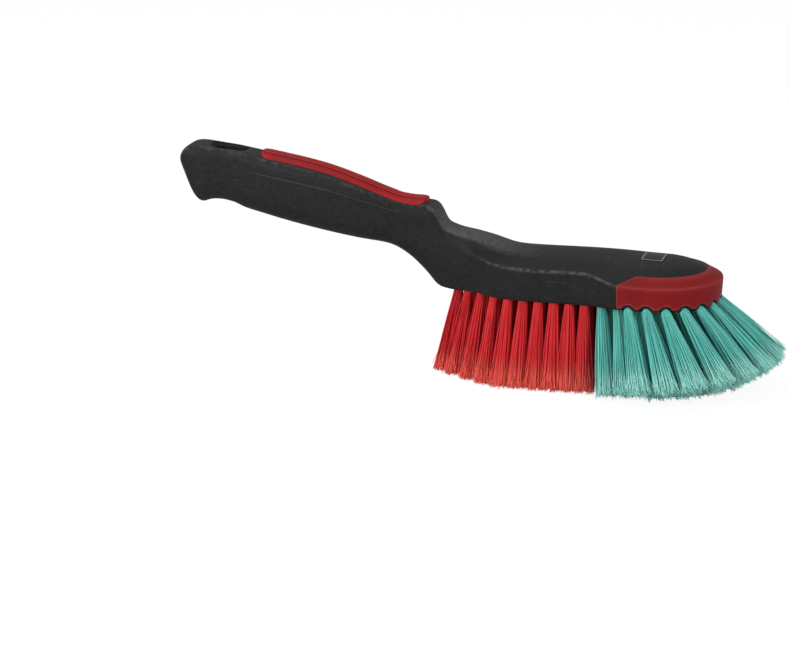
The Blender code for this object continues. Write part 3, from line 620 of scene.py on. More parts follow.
def make_piece(name, points, faces, params=None, layer="surface"):
    """Make a mesh object from whole arrays, with its parameters as a UV map. Points that
    fall together are welded, and the faces turned outwards."""
    mesh = bpy.data.meshes.new(name)
    mesh.from_pydata(points.reshape(-1, 3) + PLACE, [],
                     [list(map(int, face)) for face in faces])
    if params is not None:
        corner = fetched(mesh.loops, "vertex_index", 1, np.int32)[:, 0]
        write_map(mesh, layer, params.reshape(-1, 2)[corner])
    data = bmesh.new()
    data.from_mesh(mesh)
    bmesh.ops.remove_doubles(data, verts=data.verts, dist=WELD)
    bmesh.ops.recalc_face_normals(data, faces=data.faces)
    data.to_mesh(mesh)
    data.free()
    mesh.shade_smooth()
    return add_object(name, mesh)


def mark_bend(item, full):
    """Store how strongly each point stands out: the mean over its edges of twice the drop
    below the point's tangent plane over the edge's length squared, as a share of a full
    curvature, so edges come near one and hollows below nothing."""
    mesh = item.data
    count = len(mesh.vertices)
    points = fetched(mesh.vertices, "co", 3, np.float32)
    normals = fetched(mesh.vertices, "normal", 3, np.float32)
    ends = fetched(mesh.edges, "vertices", 2, np.int32)
    ends = np.concatenate([ends, ends[:, ::-1]])
    way = points[ends[:, 1]] - points[ends[:, 0]]
    size = np.maximum((way ** 2).sum(1), 1e-9)
    bend = -2.0 * (way * normals[ends[:, 0]]).sum(1) / size
    bend = np.clip(bend, -MOST_CURVATURE, MOST_CURVATURE)
    total = np.bincount(ends[:, 0], bend, count)
    met = np.maximum(np.bincount(ends[:, 0], minlength=count), 1)
    for _ in range(2):
        mean = total / met
        total = (total + np.bincount(ends[:, 0], mean[ends[:, 1]], count)) / 2.0
    layer = mesh.attributes.new("edge_bend", "FLOAT", "POINT")
    layer.data.foreach_set("value", np.clip(total / met / full, -1.0, 1.0).astype(np.float32))


def finish_piece(item, material, replaced=()):
    """Give a piece its material and its body, and hide what it stands for."""
    item.data.materials.clear()
    item.data.materials.append(material)
    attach(item, "root")
    if replaced:
        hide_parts(*replaced)


def settle(item):
    """Put the result of a piece's modifiers into its mesh."""
    depsgraph = bpy.context.evaluated_depsgraph_get()
    mesh = bpy.data.meshes.new_from_object(item.evaluated_get(depsgraph))
    item.modifiers.clear()
    item.data = mesh


def cut(item, tool):
    """Take one closed shape out of another and put the result into the mesh."""
    modifier = item.modifiers.new("cut", "BOOLEAN")
    modifier.operation = "DIFFERENCE"
    modifier.solver = "EXACT"
    modifier.object = tool
    settle(item)
    bpy.data.objects.remove(tool, do_unlink=True)
    if not len(item.data.polygons):
        raise RuntimeError(f"{item.name} came out empty from a cut")


def oval_halves(half_width, low, high):
    """Half sections of the handle: x to the power p plus z to the power p is one, with p the
    squareness of the lower or upper half, scaled to each half width and height; from the
    underside to the top."""
    power = 2.0 / np.where(RING_ANGLES > 0.0, TOP_SQUARENESS, HANDLE_SQUARENESS)
    out = half_width[:, None] * np.abs(np.cos(RING_ANGLES)) ** power
    out[:, [0, -1]] = 0.0
    rise = np.sign(np.sin(RING_ANGLES)) * np.abs(np.sin(RING_ANGLES)) ** power
    height = ((high + low) / 2)[:, None] + ((high - low) / 2)[:, None] * rise
    return joined(out, height)


def walled_halves(half_width, top, wall):
    """Half sections of the head: flat underside, wall, bevel, and a crown that falls with the
    square of the way out from its middle."""
    foot, shelf = half_width - WALL_TAPER, half_width - BEVEL_WIDTH
    ledge = WALL_HEIGHT + BEVEL_HEIGHT + LEDGE_SHARE * (wall - WALL_HEIGHT)
    none = np.zeros_like(half_width)
    soft = EDGE_SOFTNESS
    out = [none, foot * 0.4, foot * 0.75, foot - soft, foot, (foot + half_width) / 2,
           half_width, half_width - soft, shelf + soft, shelf - soft]
    height = [none, none, none, none, none + soft, wall / 2, wall - soft, wall + soft / 4,
              ledge - soft / 2, ledge]
    crown_out = shelf[:, None] * CROWN_SHARES
    crown_height = top[:, None] - (top - ledge)[:, None] * CROWN_SHARES ** 2
    return joined(np.column_stack([np.array(out).T, crown_out]),
                  np.column_stack([np.array(height).T, crown_height]))


def body_rings():
    """Rings of the handle, neck and head as one array: ring, point round, xyz. A ring leans
    from its underside's x to its top's x in step with height."""
    end, rest = END_RINGS, HANDLE_RINGS
    x_low = np.concatenate([end[:, 0], rest[:, 0]]) * HANDLE_LENGTH
    x_high = np.concatenate([end[:, 2], rest[:, 0]]) * HANDLE_LENGTH
    low = np.concatenate([end[:, 1], rest[:, 1]]) * HANDLE_HEIGHT
    high = np.concatenate([end[:, 3], rest[:, 2]]) * HANDLE_HEIGHT
    width = np.concatenate([end[:, 4], rest[:, 3]]) * HANDLE_HALF_WIDTH
    handle = oval_halves(width, low, high)
    top, wide = HEAD_RINGS[:, 1] * HEAD_HEIGHT, HEAD_RINGS[:, 2] * HEAD_HALF_WIDTH
    oval = oval_halves(wide, np.zeros_like(top), top)
    below = np.arange(oval.shape[1]) <= CREASE_POINT
    turned = np.where(below, HEAD_RINGS[:, 3:4], HEAD_RINGS[:, 4:5])[:, :, None]
    walled = walled_halves(wide, top, HEAD_RINGS[:, 5] * WALL_HEIGHT)
    head = oval + (walled - oval) * turned
    x_head = HEAD_RINGS[:, 0] * HEAD_LENGTH
    x_head[-1] = NOSE_CENTRE
    half = np.concatenate([handle, head])
    x_low, x_high = np.concatenate([x_low, x_head]), np.concatenate([x_high, x_head])
    floor, crest = half[:, :, 1].min(1), half[:, :, 1].max(1)
    share = (half[:, :, 1] - floor[:, None]) / (crest - floor)[:, None]
    x = x_low[:, None] + (x_high - x_low)[:, None] * share
    near = joined(x, half[:, :, 0], half[:, :, 1])
    far = near[:, -2::-1] * (1.0, -1.0, 1.0)
    return np.concatenate([near, far], axis=1), half[-1]


def body_shell():
    """The moulded body as a cage: rings joined along, and the last section turned half a turn
    about the nose centre. Subdivision rounds it."""
    rings, half = body_rings()
    count, around = rings.shape[:2]
    lift = np.linspace(0.0, 1.0, len(half))
    params = joined(rings[:, :, 0], np.concatenate([lift, lift[-2::-1]]))
    turn = np.linspace(math.pi / 2, -math.pi / 2, NOSE_STEPS + 1)[:, None]
    nose = joined(NOSE_CENTRE + half[:, 0] * np.cos(turn), half[:, 0] * np.sin(turn),
                  half[:, 1])
    nose_params = joined(nose[:, :, 0], lift)
    faces = [*grid_faces(count, around),
             *grid_faces(NOSE_STEPS + 1, len(half), count * around), np.arange(around - 1)]
    item = make_piece("moulded_body",
                      np.concatenate([rings.reshape(-1, 3), nose.reshape(-1, 3)]), faces,
                      np.concatenate([params.reshape(-1, 2), nose_params.reshape(-1, 2)]))
    smooth = item.modifiers.new("rounding", "SUBSURF")
    smooth.levels = smooth.render_levels = 2
    settle(item)
    return item


def rounded_outline(length, width, corner, steps):
    """A rectangle with round corners as a closed line: straight sides and quarter circles."""
    turn = np.linspace(0.0, 2 * math.pi, 4 * steps, endpoint=False) + math.pi / (4 * steps)
    quadrant = joined(np.sign(np.cos(turn)), np.sign(np.sin(turn)))
    return (joined(np.cos(turn), np.sin(turn)) * corner
            + quadrant * (length / 2 - corner, width / 2 - corner))


def hang_hole_tool():
    """Cutter for the hang hole: a rounded outline carried through the handle, opening at both
    mouths along quarter circles."""
    ends = HANG_HOLE_PLACE + HANG_HOLE_LENGTH / 2 * np.array((-1.0, 1.0))
    top, bottom = handle_line(2, ends).min(), handle_line(1, ends).max()
    bend = np.linspace(0.0, math.pi / 2, 7)
    wide = HANG_HOLE_ROUND * (1.0 - np.cos(bend))
    deep = HANG_HOLE_ROUND * np.sin(bend)
    height = np.concatenate([[bottom - CUT_MARGIN], bottom + HANG_HOLE_ROUND - deep[::-1],
                             top - HANG_HOLE_ROUND + deep, [top + CUT_MARGIN]])
    wider = np.concatenate([[CUT_MARGIN], wide[::-1], wide, [CUT_MARGIN]])
    rings, middle = [], (top + bottom) / 2
    for z, more in zip(height, wider):
        line = rounded_outline(HANG_HOLE_LENGTH + 2 * more, HANG_HOLE_WIDTH + 2 * more,
                               HANG_HOLE_CORNER + more, 7)
        shift = HANG_HOLE_PLACE + HANG_HOLE_LEAN * (z - middle)
        rings.append(joined(line[:, 0] + shift, line[:, 1], z))
    rings = np.array(rings)
    closed = np.concatenate([rings, rings[:, :1]], axis=1)
    return make_piece("hole_tool", closed, tube_faces(*closed.shape[:2]))


def ring_places(radius, straight, along):
    """Places on a U round the nose: straight, half a circle about the nose centre, straight."""
    bend = math.pi * radius
    turn = math.pi / 2 - np.clip(along - straight, 0.0, bend) / radius
    back = np.minimum(along - straight, 0.0) - np.maximum(along - straight - bend, 0.0)
    return np.column_stack([NOSE_CENTRE + radius * np.cos(turn) + back, radius * np.sin(turn)])


def tuft_groups():
    """Node name, colour, roots, spread at the tips and whether it is the outer ring."""
    groups = []
    for number, (along, across) in enumerate(RED_ROWS, start=1):
        place = FIRST_ROW + along * (LAST_ROW - FIRST_ROW)
        roots = np.array([(place, share * HEAD_HALF_WIDTH) for share in across])
        groups.append((f"red_row_{number:02d}", "red", roots, ROW_SPREAD, False))
    for side, shares in RED_COLUMNS.items():
        roots = np.array([(LAST_ROW + a * NOSE_RUN, b * HEAD_HALF_WIDTH) for a, b in shares])
        groups.append((f"red_column_{side}", "red", roots, NOSE_SPREAD, False))
    for ring, (share, end, count, side_count) in TEAL_RINGS.items():
        radius = share * HEAD_HALF_WIDTH
        straight = NOSE_CENTRE - LAST_ROW - end * NOSE_RUN
        along = np.linspace(0.0, 2 * straight + math.pi * radius, count)
        if ring == "middle":
            along[[1, -2]] += np.array((-1.0, 1.0)) * SECOND_TUFT_SHIFT
        ends = (0, side_count, count - side_count, count)
        for side, first, last in zip(("left", "front", "right"), ends[:-1], ends[1:]):
            roots = ring_places(radius, straight, along[first:last])
            groups.append((f"teal_{ring}_ring_{side}", "teal", roots, NOSE_SPREAD,
                           ring == "outer"))
    return groups


def tuft_tips(roots, spread):
    """Middles of the tufts' tips. Along, they fan forward and lean back by the share of the
    way from the head's middle to either end, to a power; across, they move out by the
    spread. Nose tufts beside the last red row are pushed forward by a bell curve."""
    x, y = roots[:, 0], roots[:, 1]
    start = HEAD_LENGTH / 2
    ahead = np.maximum(x - start, 0.0) / (HEAD_LENGTH - start)
    behind = np.maximum(start - x, 0.0) / (start - FIRST_ROW)
    edge = np.where(spread > ROW_SPREAD, np.exp(-((x - LAST_ROW) / EDGE_REACH) ** 2), 0.0)
    return np.column_stack([
        x + FAN_REACH * ahead ** FAN_POWER - REAR_LEAN * behind ** LEAN_POWER
        + EDGE_PUSH * edge, y * (1.0 + spread)])


def trim_height(x, y):
    """Height of the trimmed tips: flat in the middle, then a circle's arc rising outwards."""
    from_middle = np.hypot(np.maximum(x - NOSE_CENTRE, 0.0), y)
    past = np.clip(from_middle - TRIM_HALF_FLAT, 0.0, 0.95 * TRIM_RADIUS)
    return TRIM_RADIUS - np.sqrt(TRIM_RADIUS ** 2 - past ** 2) - BRISTLE_DROP


def tuft_axes(roots, spread, outer):
    """Where each tuft's axis leaves the underside and where it ends at the trimmed tips."""
    tips = tuft_tips(roots, spread)
    low = trim_height(tips[:, 0], tips[:, 1])
    if outer:
        away = roots - np.column_stack([np.minimum(roots[:, 0], NOSE_CENTRE),
                                        np.zeros(len(roots))])
        roots = roots + away / np.hypot(*away.T)[:, None] * OUTER_RING_SHIFT
    start = np.column_stack([roots, np.zeros(len(roots))])
    return start, np.column_stack([tips, low])


def across_axes(direction):
    """Two unit vectors square to each of the given directions."""
    side = unit(np.cross(direction, (0.0, 1.0, 0.0)))
    return side, np.cross(direction, side)


def hole_tools(groups):
    """Cutters for the drilled holes: a profile of heights and radii turned round each tuft's
    axis, with a wider mouth; in the outer ring the axis stands steeper and the hole ends just
    above the lower edge."""
    start, end = map(np.concatenate, zip(*(tuft_axes(*group[2:]) for group in groups)))
    outer = np.concatenate([np.full(len(group[2]), group[4]) for group in groups])
    down = unit(end - start)
    down = unit(np.where(outer[:, None], down * (OUTER_HOLE_LEAN, OUTER_HOLE_LEAN, 1.0), down))
    side, other = across_axes(down)
    depth = np.where(outer, OUTER_HOLE_TOP, HOLE_DEPTH)
    # Straight for three quarters of the depth, then narrowing to a blunt point.
    height = joined(-HOLE_OUTSIDE, 0.0, HOLE_MOUTH, HOLE_MOUTH + (depth - HOLE_MOUTH) * 0.75,
                    depth)[:, :, None, None]
    radius = HOLE_RADIUS * np.array((1.0, 1.0, 1.0, 1.0, 0.55))
    radius[:2] += HOLE_FLARE
    turn = np.linspace(0.0, 2 * math.pi, 21)[:, None]
    circle = np.cos(turn) * side[:, None] + np.sin(turn) * other[:, None]
    grid = (start[:, None, None] - down[:, None, None] * height
            + circle[:, None] * radius[:, None, None])
    return make_piece("tuft_holes", grid, tube_faces(*grid.shape[1:3], len(grid)))


def filament_arrays(start, opened, teal, count, diameter, chance):
    """A group's filaments: each runs from its place in the hole, on a sunflower disc, to a
    wider place on the tip disc. Gives its place on the disc, its offsets from the tuft's
    middle at root and tip, how far its trim is off, and how far it bows."""
    tufts = len(start)
    k = np.arange(count) + 0.5
    angle = k * GOLDEN_ANGLE + chance.uniform(0, 2 * math.pi, (tufts, 1))
    share = np.sqrt(k / count)
    disc = joined(np.cos(angle) * share, np.sin(angle) * share)
    packed = HOLE_RADIUS - HOLE_CLEARANCE - diameter / 2
    # Teal tufts beside the rows open 0.7 times as far as those in the nose.
    crowd = np.clip((start[:, 0] - LAST_ROW) / CROWD_RUN, 0.0, 1.0) if teal else np.ones(tufts)
    opened = opened * (0.7 + 0.3 * crowd)
    flare = opened[:, None, None] * chance.normal(1.0, SPREAD_SCATTER, (tufts, count, 1))
    wander = chance.normal(0.0, TIP_SCATTER, (tufts, count, 2))
    ragged = chance.normal(0.0, TRIM_SCATTER, (tufts, count)) - SHORTEST * chance.random(
        (tufts, count)) ** 6
    bow = chance.normal(0.0, BOW_SCATTER, (tufts, count, 2))
    return disc, disc * packed, disc * flare + wander, ragged, bow


def tuft_piece(name, colour, roots, spread, outer, sizes, material, seed):
    """All filaments of one group as three-sided tubes, with two split ends each. A filament's
    offset from the tuft's middle grows from root to tip with the way down to the power 1.1,
    and half a sine wave of its own bows it."""
    chance = np.random.default_rng(seed)
    diameter = sizes.filament_diameter
    start, end = tuft_axes(roots, spread, outer)
    side, other = across_axes(unit(end - start))
    opened = sizes.red_spread if colour == "red" else sizes.teal_spread
    disc, at_root, at_tip, ragged, bow = filament_arrays(
        start, opened, colour == "teal", sizes.filaments, diameter, chance)
    tufts, count = disc.shape[:2]
    dome = 1.0 - (disc ** 2).sum(-1)
    top = OUTER_ROOT_TOP + OUTER_ROOT_DOME * dome if outer else np.full_like(dome, ROOT_TOP)

    def aside(off):
        """Offsets along the two axes across a tuft, as xyz."""
        return off[..., :1] * side[:, None, None] + off[..., 1:] * other[:, None, None]

    def line(share):
        """Points of every filament at shares of its way down: an array with xyz last."""
        t = share[..., None]
        off = at_root[:, :, None] + (at_tip - at_root)[:, :, None] * np.maximum(t, 0.0) ** 1.1
        off = off + bow[:, :, None] * np.sin(math.pi * np.clip(t, 0, 1))
        return start[:, None, None] + (end - start)[:, None, None] * t + aside(off)

    tip = line(np.ones((tufts, count, 1)))[:, :, 0]
    x, y = tip[..., 0], tip[..., 1]
    # Tips stick together in clumps: their height runs in waves of about 3 mm.
    clump = np.sin(x * 2300.0 + 3.0 * np.sin(y * 900.0)) * np.sin(
        y * 1900.0 + 2.0 * np.sin(x * 1300.0))
    want = trim_height(x, y) + TRIM_RISE + ragged + CLUMP_RISE * clump
    want = np.maximum(want, TRIM_CLEARANCE - BRISTLE_DROP) - (tip[..., 2] - end[:, 2][:, None])
    drop = (end - start)[:, 2][:, None]
    last = np.minimum(want / drop, LONGEST + chance.normal(0.0, LENGTH_SCATTER, want.shape))
    first = top / drop
    steps = np.linspace(0.0, 1.0, len(SHAFT_RADII))
    share = first[..., None] + (last - first)[..., None] * steps
    own = chance.random((tufts, count))
    tubes = [(line(share), SHAFT_RADII, steps, own)]
    flagged = sizes.flag_length / BRISTLE_DROP
    steps = np.linspace(0.0, 1.0, len(FLAG_RADII))
    for _ in range(2):
        split = 1.0 - flagged * chance.uniform(*FLAG_SPAN, (tufts, count))
        reach = last * (1.0 + chance.normal(0.0, FLAG_LENGTH_SCATTER, (tufts, count)))
        share = split[..., None] + (reach - split)[..., None] * steps
        out = chance.normal(0.0, FLAG_SCATTER, (tufts, count, 1, 2)) * steps[:, None] ** 1.5
        tubes.append((line(share) + aside(out), FLAG_RADII, share.mean(axis=(0, 1)),
                      own * 0.5 + 0.5))
    points, params, faces, used = [], [], [], 0
    turn = np.linspace(0.0, 2 * math.pi, 3, endpoint=False)[:, None]
    circle = (np.cos(turn) * side[:, None, None, None]
              + np.sin(turn) * other[:, None, None, None])
    loop = np.array(((0, 1, 4, 3), (1, 2, 5, 4), (2, 0, 3, 5)))
    for centre, radii, steps, shades in tubes:
        centre[..., 2] = np.maximum(centre[..., 2], FLOOR_CLEARANCE - BRISTLE_DROP)
        tube = centre[:, :, :, None] + circle * (radii * diameter)[:, None, None]
        points.append(tube.reshape(-1, 3))
        values = joined(steps[:, None], shades.reshape(-1, 1, 1) + np.zeros(3))
        params.append(values.reshape(-1, 2))
        ring = np.arange(tufts * count)[:, None] * len(steps) + np.arange(len(steps) - 1)
        faces.append((used + ring.reshape(-1, 1, 1) * 3 + loop).reshape(-1, 4))
        used += len(points[-1])
    item = fill_mesh(f"{name}_tufts", np.concatenate(points), np.concatenate(faces),
                     np.concatenate(params))
    finish_piece(item, material, (name,))


def fill_mesh(name, points, quads, params):
    """Make a mesh of quads only, straight from whole arrays."""
    mesh = bpy.data.meshes.new(name)
    mesh.vertices.add(len(points))
    mesh.vertices.foreach_set("co", (points + PLACE).astype(np.float32).ravel())
    mesh.loops.add(quads.size)
    mesh.loops.foreach_set("vertex_index", quads.astype(np.int32).ravel())
    mesh.polygons.add(len(quads))
    mesh.polygons.foreach_set("loop_start", np.arange(0, quads.size, 4, dtype=np.int32))
    mesh.update(calc_edges=True)
    write_map(mesh, "strand", params[quads.ravel()])
    mesh.validate()
    mesh.shade_smooth()
    return add_object(name, mesh)


def nose_outline():
    """Outline of one side of the head, from the nose's tip to behind the bumper, as places,
    outward directions and the way run."""
    turn = np.linspace(0.0, math.pi / 2, 61)
    arc = np.column_stack([NOSE_CENTRE + HEAD_HALF_WIDTH * np.cos(turn),
                           HEAD_HALF_WIDTH * np.sin(turn), np.cos(turn), np.sin(turn)])
    x = np.linspace(NOSE_CENTRE, NOSE_CENTRE - 2 * BUMPER_LENGTH, 61)[1:]
    width = head_line(2, HEAD_HALF_WIDTH, x)
    slope = np.gradient(width, x)
    size = np.sqrt(1.0 + slope ** 2)
    outline = np.concatenate([arc, np.column_stack([x, width, -slope / size, 1.0 / size])])
    run = np.concatenate([[0.0], np.cumsum(np.hypot(*np.diff(outline[:, :2], axis=0).T))])
    return outline, run


def scallops(run):
    """Rise of the bumper's lower edge at each signed run from the nose's tip: over each tuft
    of the outer ring, one less the square of the share of half a scallop, to the power 0.75."""
    roots = np.concatenate([group[2] for group in tuft_groups() if group[4]])
    ahead = np.maximum(roots[:, 0] - NOSE_CENTRE, 0.0)
    behind = np.maximum(NOSE_CENTRE - roots[:, 0], 0.0)
    turn = np.arctan2(np.abs(roots[:, 1]), ahead)
    places = np.sign(roots[:, 1]) * (turn * HEAD_HALF_WIDTH + behind)
    share = (run[..., None] - places) / SCALLOP_HALF_WIDTH
    return (SCALLOP_RISE * np.clip(1.0 - share ** 2, 0.0, 1.0) ** 0.75).max(axis=-1)


def bumper_shell():
    """The bumper: a closed profile carried round the nose. Each profile point has an inset
    from the tapered wall, a height, its share of the slant, by which it stops earlier and
    shears the ends, and how far it follows the scalloped lower edge."""
    ledge, sink = WALL_HEIGHT + BEVEL_HEIGHT, BUMPER_SINK
    proud, soft = BUMPER_PROUD, EDGE_SOFTNESS
    profile = np.array((
        (0.00060 - proud, BUMPER_FOOT, 0.0, 1.0),
        (0.00025 - proud, BUMPER_FOOT + 0.00008, 0.0, 1.0),
        (0.00005 - proud, BUMPER_FOOT + 0.0003, 0.0, 1.0),
        (-proud, BUMPER_FOOT + 0.0007, 0.0, 0.95),
        (-proud, 0.0030, 0.0, 0.6),
        (-proud, 0.0043, 0.0, 0.25),
        (-proud, 0.0060, 0.0, 0.0),
        (-proud, 0.0085, 0.0, 0.0),
        (-proud, WALL_HEIGHT - 0.0012, 0.0, 0.0),
        (0.00008 - proud, WALL_HEIGHT - 0.0005, 0.01, 0.0),
        (0.0004 - proud, WALL_HEIGHT + 0.00012, 0.04, 0.0),
        (0.0011 - proud, WALL_HEIGHT + 0.0006, 0.11, 0.0),
        (BEVEL_WIDTH / 2, WALL_HEIGHT + BEVEL_HEIGHT / 2 + proud, 0.5, 0.0),
        (BEVEL_WIDTH - 0.0009, ledge + proud - soft / 2, 0.91, 0.0),
        (BEVEL_WIDTH - 0.0003, ledge + proud - soft / 4, 0.97, 0.0),
        (BEVEL_WIDTH, ledge - 0.0002, 1.0, 0.0),
        (BEVEL_WIDTH + 0.0001, ledge - sink, 1.0, 0.0),
        (sink, WALL_HEIGHT - sink, 0.05, 0.0),
        (sink, BUMPER_FOOT + 0.0003, 0.0, 1.0),
        (sink - 0.0003, BUMPER_FOOT, 0.0, 1.0),
    ))
    outline, run = nose_outline()
    half_run = np.interp(NOSE_CENTRE - BUMPER_LENGTH, outline[::-1, 0], run[::-1])
    share = np.linspace(-1.0, 1.0, 421)
    reach = np.abs(share)[:, None] * (half_run - profile[:, 2] * BUMPER_SLANT)
    x, y, out_x, out_y = (np.interp(reach, run, outline[:, k]) for k in range(4))
    hand = np.where(share < 0.0, -1.0, 1.0)[:, None]
    low = np.minimum(profile[:, 1] / WALL_HEIGHT, 1.0)
    lift = head_line(5, 1.0, x) - 1.0
    rise = profile[:, 3] * scallops(hand * reach)
    inset = profile[:, 0] + WALL_TAPER * (1.0 - np.minimum(low + rise / WALL_HEIGHT, 1.0))
    height = profile[:, 1] + rise + WALL_HEIGHT * lift * low
    points = joined(x - inset * out_x, hand * (y - inset * out_y), height)
    closed = np.concatenate([points, points[:, :1]], axis=1)
    rows, columns = closed.shape[:2]
    params = joined(reach[:, :1] * hand, np.zeros(columns))
    return make_piece("soft_bumper", closed, tube_faces(rows, columns), params)


def grip_shell():
    """The grip: across it a crowned line with four round grooves, along it the handle's top
    line. Towards each end the half width falls as (1 - t to the power p) to the power 1 / p,
    with t running from nothing to nearly one, so the ends are blunt. Its edge rolls down."""
    along = np.linspace(0.0, math.pi, 141)
    x = GRIP_PLACE - GRIP_LENGTH / 2 * np.cos(along)
    from_end = GRIP_LENGTH / 2 - np.abs(x - GRIP_PLACE)
    near_end = np.clip(1.0 - from_end / GRIP_END_LENGTH, 0.0, GRIP_END_CUT)
    wide = GRIP_HALF_WIDTH * (1.0 - near_end ** GRIP_END_POWER) ** (1.0 / GRIP_END_POWER)
    line = handle_line(2, x)
    ends = (wide / GRIP_HALF_WIDTH)[:, None]
    across = np.linspace(-1.0, 1.0, 121)
    side = across * wide[:, None]
    crown = GRIP_CROWN * (side / GRIP_HALF_WIDTH) ** 2
    groove = sum(deep * np.exp(-((across - place) / wide_share) ** 2)
                 for place, deep, wide_share in GRIP_GROOVES)
    shoulder = np.clip((np.abs(across) - GRIP_SHOULDER) / (1.0 - GRIP_SHOULDER), 0.0, 1.0)
    roll = GRIP_ROLL * (1.0 - np.sqrt(1.0 - shoulder ** 2))
    rise = GRIP_RISE * (GRIP_END_RISE + (1.0 - GRIP_END_RISE) * ends)
    top = line[:, None] + rise - crown - GRIP_GROOVE_DEPTH * groove * ends ** 2 - roll
    upper = joined(x[:, None], side, top)
    floor = joined(x[:, None], side[:, [-1, 0]], (line - GRIP_SINK)[:, None])
    closed = np.concatenate([upper, floor, upper[:, :1]], axis=1)
    rows, columns = closed.shape[:2]
    # The map's second value marks where painted shade and dirt go: the grooves, and the rolled
    # edge where the grip sinks into the handle.
    depth = np.concatenate([groove + shoulder ** 6, np.zeros(columns - len(groove))])
    return make_piece("soft_grip_pad", closed, tube_faces(rows, columns),
                      joined(x[:, None], depth))


def label_sheet():
    """A plain label: a rounded rectangle laid on the crown, whose height at a place is the
    crown's there plus a little."""
    length, width, corner = LABEL_LENGTH, LABEL_WIDTH, LABEL_CORNER
    x = (LABEL_PLACE + np.linspace(-1.0, 1.0, 25) * length / 2)[:, None]
    from_end = length / 2 - np.abs(x - LABEL_PLACE)
    end = np.clip(from_end, 0.0, corner)
    reach = width / 2 - corner + np.sqrt(np.maximum(corner ** 2 - (corner - end) ** 2, 0.0))
    y = np.linspace(-1.0, 1.0, 17) * reach
    top = head_line(1, HEAD_HEIGHT, x)
    shelf = head_line(2, HEAD_HALF_WIDTH, x) - BEVEL_WIDTH
    out = np.hypot(y, np.maximum(x - NOSE_CENTRE, 0.0)) / shelf
    height = top - (top - WALL_HEIGHT - BEVEL_HEIGHT) * out ** 2 + LABEL_PROUD
    item = make_piece("plain_label", joined(x, y, height), grid_faces(*y.shape),
                      joined(from_end, width / 2 - np.abs(y)), "sheet")
    film = item.modifiers.new("film", "SOLIDIFY")
    film.thickness, film.offset = LABEL_THICKNESS, -1.0
    settle(item)
    return item


def seen_share(tree):
    """One where the camera looks, straight or through something, and nothing elsewhere."""
    path = add_node(tree, "ShaderNodeLightPath").outputs
    return maths(tree, "MAXIMUM", path["Is Camera Ray"], path["Is Transmission Ray"])


def pale_floor():
    """Plain pale floor: seen from the camera it is lifted towards white, and what is left
    of its diffuse light carries the shadow."""
    material, tree = start_material("floor_pale")
    share = product(tree, seen_share(tree), 0.85)
    matt = add_node(tree, "ShaderNodeBsdfDiffuse", {"Color": (0.8, 0.8, 0.8, 1.0)})
    glow = add_node(tree, "ShaderNodeEmission", {"Color": (1.0, 1.0, 1.0, 1.0),
                                                 "Strength": 1.09})
    mixed = add_node(tree, "ShaderNodeMixShader", {
        0: share, 1: matt.outputs["BSDF"], 2: glow.outputs["Emission"]})
    add_node(tree, "ShaderNodeOutputMaterial", {"Surface": mixed.outputs["Shader"]})
    return material


def add_floor():
    """A square floor under the brush."""
    mesh = bpy.data.meshes.new("floor")
    corners = ((-1, -1), (1, -1), (1, 1), (-1, 1))
    mesh.from_pydata([(x * FLOOR_REACH, y * FLOOR_REACH, 0) for x, y in corners], [],
                     [(0, 1, 2, 3)])
    mesh.materials.append(pale_floor())
    floor = add_object("floor", mesh)


def add_world(scene):
    """Even pale surroundings: white to the camera, softer as a light."""
    scene.world = bpy.data.worlds.new("surroundings")
    tree = clear_tree(scene.world)
    level = ranged(tree, seen_share(tree), 0.0, 1.0, 0.4, 1.0)
    light = add_node(tree, "ShaderNodeBackground", {"Color": (1.0, 1.0, 1.0, 1.0),
                                                    "Strength": level})
    add_node(tree, "ShaderNodeOutputWorld", {"Surface": light.outputs["Background"]})


def axes_matrix(right, up, back, place):
    """Matrix of an object with these axes at a place."""
    matrix = np.eye(4)
    matrix[:3] = np.column_stack([right, up, back, place])
    return Matrix(matrix.tolist())


def add_lamp(name, place, target, size, power):
    """A square soft lamp that looks at a target."""
    lamp = bpy.data.lights.new(name, "AREA")
    lamp.size, lamp.energy = size, power
    back = unit(np.subtract(place, target))
    right = unit(np.cross((0.0, 0.0, 1.0), back))
    add_object(name, lamp).matrix_world = axes_matrix(right, np.cross(back, right), back, place)


def add_camera(scene):
    """The camera that fits the photograph."""
    width, height = PHOTO_SIZE
    turn, lift = CAMERA_TURN, CAMERA_LIFT
    right = np.array((math.cos(turn), math.sin(turn), 0.0))
    ahead = np.array((-math.sin(turn) * math.cos(lift), math.cos(turn) * math.cos(lift),
                      -math.sin(lift)))
    up = np.cross(right, ahead)
    aside = (CORNER_SEEN[0] - width / 2) / FOCAL_PIXELS
    above = (height / 2 - CORNER_SEEN[1]) / FOCAL_PIXELS
    place = PLACE - (ahead + aside * right + above * up) * CAMERA_DISTANCE
    data = bpy.data.cameras.new("camera")
    data.sensor_fit, data.sensor_width = "HORIZONTAL", SENSOR_WIDTH
    data.lens = FOCAL_PIXELS / width * SENSOR_WIDTH
    data.clip_start, data.clip_end = 0.05, 20.0
    scene.camera = add_object("camera", data)
    scene.camera.matrix_world = axes_matrix(right, up, -ahead, place)


class HANDBRUSH_OT_body(Operator):
    """Build the moulded handle and head, with its hang hole and drilled tuft holes"""

    bl_idname = "hand_brush.body"
    bl_label = "Moulded Body"

    def execute(self, context):
        item = body_shell()
        cut(item, hang_hole_tool())
        cut(item, hole_tools(tuft_groups()))
        item.data.shade_smooth()
        item.data.set_sharp_from_angle(angle=SHARP_ANGLE)
        mark_bend(item, BODY_CURVATURE)
        finish_piece(item, moulded_polypropylene(context.scene.hand_brush_colours.body),
                     ("brush_body",))
        return {"FINISHED"}


